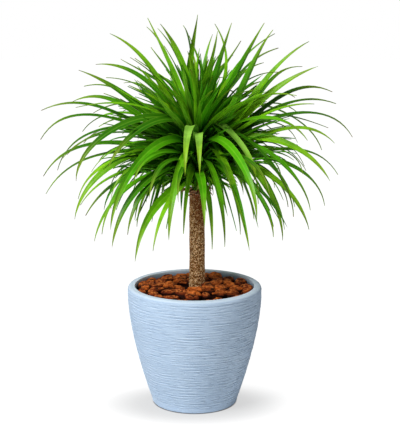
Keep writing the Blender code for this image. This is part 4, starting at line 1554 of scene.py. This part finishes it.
@dataclass
class LeafCrown:
    """The head: grown leaves, shorter ones between them, shoots and leaf bases in its neck, and the stem."""

    leaf_width: float = 0.0213
    leaf_depth: float = 0.0016
    root_share: float = 0.62
    broad_from: float = 0.38
    taper: float = 2.4
    point: float = 0.9
    root_out: float = 0.009
    root_low: float = 0.512
    root_wave: float = 0.008
    root_waves: float = 7.0
    rise_of_lowest: float = -25.0
    rise_of_highest: float = 85.0
    root_handle: float = 0.42
    tip_handle: float = 0.36
    dome_centre: float = 0.582
    dome_reach: float = 0.350
    dome_top: float = 0.290
    dome_low: float = 0.215
    climb_range: tuple[float, float] = (-60, 84)
    front_sector: tuple[float, float] = (208, 332)
    front_bare: tuple[float, float] = (-14, 48)
    front_lift: float = 0.5
    size_range: tuple[float, float] = (0.62, 0.90)
    breadth_range: tuple[float, float] = (0.54, 0.82)
    rise_rule: tuple[float, float, float] = (38.0, 0.62, 10.0)
    fall_rule: tuple[float, float, float] = (48.0, -1.25, 15.0)
    rise_limits: tuple[float, float] = (-20.0, 85.0)
    fall_limits: tuple[float, float] = (-70.0, 88.0)
    turn_spread: float = 30.0
    bow_spread: float = 8.0
    fill_count: int = 92
    fill_tries: int = 24
    leaf_seed: int = 11
    inner_count: int = 300
    inner_front: tuple[float, float] = (224, 332)
    inner_front_share: float = 0.55
    inner_sizes: tuple[float, float] = (0.34, 0.68)
    inner_climbs: tuple[float, float] = (-28, 50)
    inner_droop: tuple[float, float] = (6, 30)
    inner_seed: int = 23
    upright_count: int = 98
    upright_sizes: tuple[float, float] = (0.40, 0.76)
    upright_climbs: tuple[float, float] = (40, 84)
    upright_seed: int = 61
    hanging_count: int = 36
    hanging_reaches: tuple[float, float] = (110, 250)
    hanging_tips: tuple[float, float] = (405, 475)
    hanging_bare: tuple[float, float] = (246, 294)
    hanging_seed: int = 71
    skirt_count: int = 130
    skirt_reaches: tuple[float, float] = (34, 105)
    skirt_top: float = 538
    skirt_drop: float = 0.32
    skirt_seed: int = 57
    shoot_count: int = 64
    shoot_reaches: tuple[float, float] = (26, 52)
    shoot_tips: tuple[float, float] = (496, 556)
    shoot_seed: int = 83
    young_count: int = 14
    young_seed: int = 41
    stem_radius: float = 0.0165
    edge_thickness: float = 0.00035
    ripple: float = 7.0
    sheath_count: int = 70
    lowest_tone: float = 0.16
    # Grown leaves with a higher tip get a brighter tone, as painted light.
    tall_tip: float = 830

    def steepness(self, leaf: Leaf) -> float:
        """Return how steeply a leaf rises: 0 for the flattest, 1 for the steepest."""
        return (leaf.rise - self.rise_of_lowest) / (self.rise_of_highest - self.rise_of_lowest)

    def dome_tip(self, size: float, climb: float) -> tuple[float, float]:
        """Place a leaf's tip on the dome or inside it.

        Args:
            size: Distance from the dome's middle, in thousandths of its size.
            climb: Angle above the level through the dome's middle, in degrees.

        Returns:
            The tip's reach and height in millimetres.
        """
        depth = self.dome_top if climb > 0 else self.dome_low
        a = math.radians(climb)
        return size * self.dome_reach * math.cos(a), 1000 * self.dome_centre + size * depth * math.sin(a)

    @staticmethod
    def slope(rule: tuple[float, float, float], climb: float, draw: random.Random) -> float:
        """Draw a slope for a leaf of the dome.

        Args:
            rule: The slope on the level, its change with each degree of climb, and its spread.
            climb: The leaf's climb in degrees.
            draw: The seeded source of numbers.

        Returns:
            The slope in degrees.
        """
        level, change, spread = rule
        return level + change * climb + draw.uniform(-spread, spread)

    def fill_leaf(self, draw: random.Random) -> Leaf:
        """Draw a leaf that ends somewhere on the dome, with the slopes that leaves have there.

        Args:
            draw: The seeded source of numbers.

        Returns:
            The leaf.
        """
        azimuth = draw.uniform(0, 360)
        climb = draw.uniform(*self.climb_range)
        low, high = self.front_bare
        if self.front_sector[0] < azimuth < self.front_sector[1] and low < climb < high:
            climb = high + self.front_lift * (climb - low)
        reach, tip = self.dome_tip(1000 * draw.uniform(*self.size_range), climb)
        rise = self.slope(self.rise_rule, climb, draw)
        fall = self.slope(self.fall_rule, climb, draw)
        return Leaf(
            azimuth=azimuth,
            reach=reach,
            tip=tip,
            rise=min(max(rise, self.rise_limits[0]), self.rise_limits[1]),
            fall=min(max(fall, self.fall_limits[0]), self.fall_limits[1]),
            turn=draw.uniform(-self.turn_spread, self.turn_spread),
            bow=draw.uniform(-self.bow_spread, self.bow_spread),
            breadth=draw.uniform(*self.breadth_range),
        )

    def tip_direction(self, leaf: Leaf) -> Vector:
        """Work out the direction from the middle of the dome to a leaf's tip.

        Args:
            leaf: The leaf.

        Returns:
            The direction, of length 1.
        """
        a = math.radians(leaf.azimuth)
        height = leaf.tip - 1000 * self.dome_centre
        return Vector((leaf.reach * math.cos(a), leaf.reach * math.sin(a), height)).normalized()

    def grown_leaves(self) -> list[Leaf]:
        """Return the listed leaves, then seeded ones that each take the widest room left on the dome.

        Returns:
            The leaves.
        """
        draw = random.Random(self.leaf_seed)
        leaves = list(CHOSEN_LEAVES)
        for _ in range(self.fill_count):
            tries = [self.fill_leaf(draw) for _ in range(self.fill_tries)]
            taken = [self.tip_direction(leaf) for leaf in leaves]
            room = [min((self.tip_direction(leaf) - other).length for other in taken) for leaf in tries]
            leaves.append(tries[room.index(max(room))])
        return leaves

    def inner_leaves(self) -> list[Leaf]:
        """Draw shorter, straighter leaves that fill the inside of the head.

        Returns:
            The leaves.
        """
        draw = random.Random(self.inner_seed)
        leaves = []
        for k in range(self.inner_count):
            azimuth = (GOLDEN_TURN * k + draw.uniform(-20, 20)) % 360
            climb = draw.uniform(*self.inner_climbs)
            size = 1000 * draw.uniform(*self.inner_sizes)
            if self.inner_front[0] < azimuth < self.inner_front[1]:
                size *= self.inner_front_share
            droop = draw.uniform(*self.inner_droop)
            reach, tip = self.dome_tip(size, climb)
            turn, bow = draw.uniform(-40, 40), draw.uniform(-10, 10)
            leaves.append(Leaf(azimuth, reach, tip, min(climb + droop, 86), droop - climb, turn, bow))
        return leaves

    def upright_leaves(self) -> list[Leaf]:
        """Draw steep leaves of middle length that fill the top of the head.

        Returns:
            The leaves.
        """
        draw = random.Random(self.upright_seed)
        leaves = []
        for k in range(self.upright_count):
            azimuth = (GOLDEN_TURN * k + draw.uniform(-20, 20)) % 360
            climb = draw.uniform(*self.upright_climbs)
            reach, tip = self.dome_tip(1000 * draw.uniform(*self.upright_sizes), climb)
            turn, bow = draw.uniform(-40, 40), draw.uniform(-8, 8)
            fall = draw.uniform(0, 16) - climb
            leaves.append(Leaf(azimuth, reach, tip, min(climb + 12, 86), fall, turn, bow))
        return leaves

    def hanging_leaves(self) -> list[Leaf]:
        """Draw slim leaves of middle length that hang between the grown ones.

        Returns:
            The leaves.
        """
        draw = random.Random(self.hanging_seed)
        leaves = []
        for k in range(self.hanging_count):
            azimuth = (GOLDEN_TURN * k + draw.uniform(-20, 20)) % 360
            if self.hanging_bare[0] < azimuth < self.hanging_bare[1]:
                azimuth -= 180
            reach, tip = draw.uniform(*self.hanging_reaches), draw.uniform(*self.hanging_tips)
            rise, fall = draw.uniform(5, 45), draw.uniform(58, 88)
            turn, bow, breadth = draw.uniform(-40, 40), draw.uniform(-8, 8), draw.uniform(0.75, 1.0)
            leaves.append(Leaf(azimuth, reach, tip, rise, fall, turn, bow, breadth))
        return leaves

    def skirt_leaves(self) -> list[Leaf]:
        """Draw the short drooping leaves that fill the neck between the head and the trunk.

        Returns:
            The leaves.
        """
        draw = random.Random(self.skirt_seed)
        leaves = []
        for k in range(self.skirt_count):
            azimuth = GOLDEN_TURN * k + draw.uniform(-15, 15)
            reach = draw.uniform(*self.skirt_reaches)
            tip = self.skirt_top - self.skirt_drop * reach + draw.uniform(-20, 12)
            turn, bow = draw.uniform(-40, 40), draw.uniform(-6, 6)
            leaves.append(Leaf(azimuth, reach, tip, draw.uniform(-18, 22), draw.uniform(25, 60), turn, bow))
        return leaves

    def neck_shoots(self) -> list[Leaf]:
        """Draw the short fresh shoots that stand out of the neck just above the trunk.

        Returns:
            The leaves.
        """
        draw = random.Random(self.shoot_seed)
        leaves = []
        for k in range(self.shoot_count):
            azimuth = GOLDEN_TURN * k + draw.uniform(-20, 20)
            reach, tip = draw.uniform(*self.shoot_reaches), draw.uniform(*self.shoot_tips)
            rise, fall = draw.uniform(-10, 60), draw.uniform(-20, 80)
            turn, bow, breadth = draw.uniform(-60, 60), draw.uniform(-6, 6), draw.uniform(0.7, 1.0)
            leaves.append(Leaf(azimuth, reach, tip, rise, fall, turn, bow, breadth))
        return leaves

    def young_leaves(self) -> list[Leaf]:
        """Draw short upright leaves round the growing tip.

        Returns:
            The leaves.
        """
        draw = random.Random(self.young_seed)
        leaves = []
        for k in range(self.young_count):
            share = k / self.young_count
            azimuth = GOLDEN_TURN * k + draw.uniform(-12, 12)
            reach = 12 + 95 * share + draw.uniform(-8, 8)
            tip = 815 - 70 * share + draw.uniform(-25, 10)
            rise, fall = 84 - 14 * share, -70 + 30 * share
            leaves.append(Leaf(azimuth, reach, tip, rise, fall, draw.uniform(-20, 20), draw.uniform(-5, 5)))
        return leaves

    def spine(self, leaf: Leaf, t: np.ndarray, root_high: float) -> tuple[np.ndarray, ...]:
        """Follow a leaf's midline.

        Args:
            leaf: The leaf.
            t: Places along it, from 0 at the root to 1 at the tip.
            root_high: The height of the steepest leaf's root.

        Returns:
            Points, and the directions across the blade and out of its face before any roll.
        """
        share = self.steepness(leaf)
        root_height = self.root_low + (root_high - self.root_low) * min(1.0, max(0.0, share))
        root_height += self.root_wave * math.sin(self.root_waves * math.radians(leaf.azimuth))
        root = np.array([self.root_out, root_height])
        tip = np.array([leaf.reach, leaf.tip]) / 1000
        chord = np.linalg.norm(tip - root)
        rise, fall = math.radians(leaf.rise), math.radians(leaf.fall)
        after_root = root + self.root_handle * chord * np.array([math.cos(rise), math.sin(rise)])
        before_tip = tip - self.tip_handle * chord * np.array([math.cos(fall), -math.sin(fall)])
        u, t = 1.0 - t[:, None], t[:, None]
        place = root * u**3 + after_root * (3 * u * u * t) + before_tip * (3 * u * t * t) + tip * t**3
        slope = (after_root - root) * (u * u) + (before_tip - after_root) * (2 * u * t)
        slope = slope + (tip - before_tip) * (t * t)
        a = math.radians(leaf.azimuth)
        out, side = np.array([math.cos(a), math.sin(a), 0.0]), np.array([-math.sin(a), math.cos(a), 0.0])
        points = np.array([TRUNK_X, 0.0, 0.0]) + out * place[:, :1] + side * (leaf.bow / 1000 * 4 * t * u)
        points[:, 2] += place[:, 1]
        along = out * slope[:, :1]
        along[:, 2] += slope[:, 1]
        along /= np.linalg.norm(along, axis=1)[:, None]
        return points, np.broadcast_to(side, along.shape), np.cross(along, side)

    def width_share(self, t: np.ndarray) -> np.ndarray:
        """Work out a blade's share of its full width: clasping root, slight waist, broad middle, fine tip.

        Args:
            t: Places along it, from 0 at the root to 1 at the tip.

        Returns:
            The share at each place.
        """
        growth = np.sin(0.5 * np.pi * np.clip(t / self.broad_from, 0, 1))
        swell = self.root_share + (1 - self.root_share) * growth + 0.45 * np.exp(-t / 0.035)
        return swell * (1 - t**self.taper) ** self.point

    def blade(self, shape: Shape, leaf: Leaf, kind: BladeKind, draw: random.Random, tone: float) -> None:
        """Add one blade: a channelled strap with a midrib below, thin edges and a fine tip.

        Args:
            shape: The shape that it joins.
            leaf: Where it runs.
            kind: How far it has grown.
            draw: The seeded source of numbers.
            tone: Its green, from 0 for deep to 1 for young.
        """
        growth = kind.value
        breadth = growth.width * leaf.breadth
        t = np.linspace(0, 1, growth.stations) ** 1.08
        t[-1] = 0.997
        points, side, face = self.spine(leaf, t, growth.root_high)
        waves, phase = draw.uniform(1.2, 2.4), draw.uniform(0, math.tau)
        sway = draw.uniform(-1, 1) * self.ripple
        roll = leaf.turn + self.ripple * np.sin(math.tau * waves * t + phase) * t + sway * t * t
        roll = np.radians(roll)[:, None]
        across = side * np.cos(roll) + face * np.sin(roll)
        normal = face * np.cos(roll) - side * np.sin(roll)
        width = self.width_share(t)
        half = 0.5 * self.leaf_width * breadth * width
        fold = growth.channel * draw.uniform(0.55, 1.25) * (0.35 + 0.65 * width)
        fold = fold + 0.004 * np.exp(-t / 0.05)
        keel = self.leaf_depth * (1 - 0.7 * t) * breadth
        top_side = np.array([-1.0, -0.62, -0.18, 0.0, 0.18, 0.62, 1.0])
        low_side = np.array([0.60, 0.16, 0.0, -0.16, -0.60])
        s = np.concatenate([top_side, low_side])
        low = np.array([0.0] * 7 + [0.45, 0.75, 1.0, 0.75, 0.45])
        crease = np.array([0, 0, 0, 0.16, 0, 0, 0, 0, 0, 0, 0, 0])
        edge = 0.10 * np.sin(math.tau * waves * 2.3 * t + phase)[:, None] * np.abs(s) * np.sign(s)
        rise = fold[:, None] * (s**2 - 0.55 + edge) - fold[:, None] * crease
        under = self.edge_thickness * (low > 0) + keel[:, None] * low * (0.30 + 0.70 * (low == 1.0))
        lift = rise - under
        rings = points[:, None, :] + across[:, None, :] * (half[:, None] * s)[..., None]
        rings = rings + normal[:, None, :] * lift[..., None]
        paint = np.ones((*rings.shape[:2], 4))
        paint[..., 0] = tone
        paint[..., 1] = growth.ripeness * t[:, None]
        paint[..., 2] = 0.5 + 0.5 * s
        paint[..., 3] = (low == 0)
        shape.add_tube(rings, paint)

    def tone_of(self, leaf: Leaf, kind: BladeKind, draw: random.Random) -> float:
        """Pick a leaf's green by chance, fresher where it rises; some listed leaves get a painted sheen,
        others painted shade, front leaves their own range, and the tallest grown leaves a brighter tone
        standing in for light.

        Args:
            leaf: The leaf.
            kind: How far it has grown.
            draw: The seeded source of numbers.

        Returns:
            Its tone, from 0 for deep to 1 for pale.
        """
        chance = draw.random()
        fresh = 0.12 * self.steepness(leaf) + 0.94 * chance * chance * (3 - 2 * chance)
        tone = max(fresh, self.lowest_tone)
        # Painted sheen: these leaves take the highest tone.
        if leaf in SHEEN_LEAVES:
            return 1.0
        # Painted shade: these leaves get a darker tone.
        if leaf in SHADED_LEAVES:
            return 0.30 * tone
        if leaf in FRONT_LEAVES:
            return 0.48 + 0.30 * tone
        # Painted light: the tallest grown leaves get a brighter tone, for light that misses them.
        if kind is BladeKind.GROWN and leaf.tip > self.tall_tip:
            return 0.42 + 0.45 * tone
        return min(tone, 1.0) * kind.value.brightest + kind.value.fresher

    def head_piece(
        self, name: str, leaves: Sequence[Leaf], kind: BladeKind, seed: int, material: bpy.types.Material
    ) -> bpy.types.Object:
        """Build one piece from a list of leaves.

        Args:
            name: The piece's name.
            leaves: Its leaves.
            kind: How far they have grown.
            seed: Seed of their ripples and tones.
            material: Their finish.

        Returns:
            The piece.
        """
        draw = random.Random(seed)
        shape = Shape("blade")
        for leaf in leaves:
            self.blade(shape, leaf, kind, draw, self.tone_of(leaf, kind, draw))
        return settle(shape.build(name, material, 75.0), "leaf_crown")

    def growing_tip(self, material: bpy.types.Material) -> bpy.types.Object:
        """Build the green stem that carries the head.

        Args:
            material: The leaves' finish.

        Returns:
            The piece.
        """
        shape = Shape("blade")
        columns = 40
        angle = 2 * np.pi * np.arange(columns) / columns
        levels = (
            (0.4953, 0.80), (0.505, 0.78), (0.520, 0.86), (0.548, 0.94),
            (0.575, 0.96), (0.612, 0.84), (0.630, 0.55), (0.638, 0.18),
        )
        rings = np.zeros((len(levels), columns, 3))
        for i, (height, share) in enumerate(levels):
            radius = self.stem_radius * share * (1 + 0.05 * np.sin(5 * angle + 40 * height))
            x, y = TRUNK_X + radius * np.cos(angle), radius * np.sin(angle)
            rings[i] = np.stack([x, y, height + 0 * angle], axis=-1)
        paint = np.ones((len(levels), columns, 4))
        # Tone 0 at the root: the stem is painted the deepest green, with the painted root shade, as the
        # hollow of the neck is in shade.
        paint[..., :2] = 0.0
        shape.add_tube(rings, paint)
        return settle(shape.build("growing_tip", material, 70.0), "leaf_crown")

    def sheaths(self, fresh: bpy.types.Material) -> bpy.types.Object:
        """Build the clasping leaf bases that cover the foot of the stem.

        Args:
            fresh: Their finish.

        Returns:
            The piece.
        """
        draw = random.Random(self.young_seed + 1)
        shape = Shape("blade")
        for k in range(self.sheath_count):
            share = k / self.sheath_count
            height = 497 + 60 * share + draw.uniform(-1, 2)
            out = 24 + 20 * draw.random()
            rise = 62 - 25 * (1 - share)
            azimuth = GOLDEN_TURN * k + draw.uniform(-9, 9)
            top = height + 26 + 8 * draw.random()
            leaf = Leaf(azimuth, out, top, rise, 5, draw.uniform(-14, 14))
            self.sheath(shape, leaf, height / 1000, draw.random())
        return settle(shape.build("clasping_leaf_bases", fresh, 70.0), "leaf_crown")

    def sheath(self, shape: Shape, leaf: Leaf, foot: float, tone: float) -> None:
        """Add one clasping leaf base that wraps part of the stem and turns out at its top.

        Args:
            shape: The shape that it joins.
            leaf: Its azimuth, reach and top.
            foot: The height of its foot.
            tone: Its green.
        """
        stations, half_turn = 9, math.radians(13)
        a = math.radians(leaf.azimuth)
        spread = np.array([-1.0, -0.5, 0.0, 0.5, 1.0, 0.5, 0.0, -0.5])
        inner = np.array([0, 0, 0, 0, 0, 1, 1, 1])
        rings = np.zeros((stations, len(spread), 3))
        paint = np.ones((stations, len(spread), 4))
        for i in range(stations):
            t = i / (stations - 1)
            reach = self.stem_radius * 0.90 + (leaf.reach / 1000 - self.stem_radius) * t**2.2
            turn = a + spread * half_turn * (1 - 0.55 * t)
            radius = reach - 0.0012 * inner
            rings[i, :, 0] = TRUNK_X + radius * np.cos(turn)
            rings[i, :, 1] = radius * np.sin(turn)
            rings[i, :, 2] = foot + (leaf.tip / 1000 - foot) * t - 0.002 * spread**2
            flat = 0 * spread
            shades = (flat + tone, flat + 0.70 + 0.15 * t, 0.5 + 0.4 * spread, 1.0 - inner)
            paint[i] = np.stack(shades, axis=-1)
        shape.add_tube(rings, paint)

    def build(self, material: bpy.types.Material, fresh: bpy.types.Material) -> list[bpy.types.Object]:
        """Build the head.

        Args:
            material: The leaves' finish.
            fresh: The finish of the shoots and leaf bases in the neck.

        Returns:
            Its pieces.
        """
        return [
            self.head_piece("grown_leaves", self.grown_leaves(), BladeKind.GROWN, 101, material),
            self.head_piece("upright_leaves", self.upright_leaves(), BladeKind.MIDDLE, 105, material),
            self.head_piece("hanging_leaves", self.hanging_leaves(), BladeKind.MIDDLE, 106, material),
            self.head_piece("inner_leaves", self.inner_leaves(), BladeKind.INNER, 102, material),
            self.head_piece("young_leaves", self.young_leaves(), BladeKind.YOUNG, 103, material),
            self.head_piece("skirt_leaves", self.skirt_leaves(), BladeKind.SKIRT, 104, material),
            self.head_piece("neck_shoots", self.neck_shoots(), BladeKind.SHOOT, 107, fresh),
            self.growing_tip(material),
            self.sheaths(fresh),
        ]


@dataclass
class SoftLight:
    """One square soft light."""

    name: str
    place: tuple[float, float, float]
    aim: tuple[float, float, float]
    size: float
    power: float
    colour: Colour = (1.0, 1.0, 1.0)

    def build(self) -> None:
        """Place the light, turned to its aim."""
        data = bpy.data.lights.new(self.name, "AREA")
        data.shape, data.size, data.energy, data.color = "SQUARE", self.size, self.power, self.colour
        light = bpy.data.objects.new(self.name, data)
        light.location = self.place
        light.rotation_euler = (Vector(self.aim) - Vector(self.place)).to_track_quat("-Z", "Y").to_euler()
        bpy.context.scene.collection.objects.link(light)


@dataclass
class Studio:
    """Camera, soft lights, white floor and pale surroundings."""

    camera_place: tuple[float, float, float] = (0.0121, -2.87, 1.035)
    camera_tilt: float = 90 - 11.92
    lens: float = 117.72
    sensor: float = 36.0
    floor_radius: float = 9.0
    sky: float = 0.28

    def camera(self) -> None:
        """Place the camera where the photo was taken from."""
        data = bpy.data.cameras.new("photo_camera")
        data.sensor_fit, data.sensor_width, data.lens = "HORIZONTAL", self.sensor, self.lens
        data.clip_end = 50.0
        camera = bpy.data.objects.new("photo_camera", data)
        camera.location = self.camera_place
        camera.rotation_euler = Euler((math.radians(self.camera_tilt), 0, 0))
        bpy.context.scene.collection.objects.link(camera)
        bpy.context.scene.camera = camera

    def floor(self, material: bpy.types.Material) -> None:
        """Lay the white floor, a wide flat disc.

        Args:
            material: The floor's finish.
        """
        shape = Shape("floor_paint")
        columns = 64
        angle = 2 * np.pi * np.arange(columns) / columns
        ring = np.stack([np.cos(angle), np.sin(angle), 0 * angle], axis=-1)
        rings = np.stack([ring * r for r in (0.02, 0.5, 2.0, self.floor_radius)])
        rings[..., 2] -= 0.0004
        low = rings[::-1].copy()
        low[..., 2] -= 0.02
        rings = np.concatenate([rings, low])
        shape.add_tube(rings[::-1], np.ones((*rings.shape[:2], 4)))
        shape.build("floor", material)

    def surroundings(self) -> None:
        """Light the world evenly, and show it white behind the object."""
        world = bpy.data.worlds.new("studio_world")
        bpy.context.scene.world = world
        world.use_nodes = True
        sheet = NodeSheet(world.node_tree)
        back = world.node_tree.nodes["Background"]
        seen = sheet.add("ShaderNodeLightPath", {}).outputs["Is Camera Ray"]
        feeds = {"Value": seen, "To Min": self.sky, "To Max": 1.0}
        strength = sheet.add("ShaderNodeMapRange", feeds).outputs[0]
        back.inputs["Color"].default_value = (1.0, 1.0, 1.0, 1.0)
        sheet.feed(back.inputs["Strength"], strength)

    def lights(self) -> None:
        """Place the soft lights: a strong one high at the front left and a faint one on the right."""
        rig = (
            SoftLight("key_light", (-1.4, -1.6, 2.5), (0, 0, 0.45), 1.0, 104.0),
            SoftLight("fill_light", (2.0, -1.4, 1.5), (0, 0, 0.45), 1.4, 5.0),
        )
        for light in rig:
            light.build()

    def build(self, floor: bpy.types.Material) -> None:
        """Set up the studio.

        Args:
            floor: The floor's finish.
        """
        self.camera()
        self.lights()
        self.floor(floor)
        self.surroundings()
        bpy.context.scene.view_settings.view_transform = "Standard"


def main() -> None:
    """Build every piece in order, dress it and report it."""
    logging.basicConfig(level=logging.INFO, format="%(name)s: %(message)s")
    effects = SharedEffects()
    Studio().build(FloorFinish().build(effects))
    LOG.info("studio is ready")
    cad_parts["soil"].data.materials.clear()
    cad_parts["soil"].data.materials.append(CrumbFinish().build(effects))
    ClayPot().build(ClayFinish().build(effects))
    BarkMulch().build(NuggetFinish().build(effects))
    BareTrunk().build(TrunkFinish().build(effects), ScaleFinish().build(effects))
    # Bright yellow-green for the neck's shoots and leaf bases: partly their own colour, partly painted light,
    # as the neck is in shade.
    fresh = ScaleFinish("fresh_leaf_base", straw=(0.66, 0.80, 0.05), brown=(0.16, 0.30, 0.01), roughness=0.5)
    LeafCrown().build(LeafFinish().build(effects), fresh.build(effects))


if __name__ == "__main__":
    main()
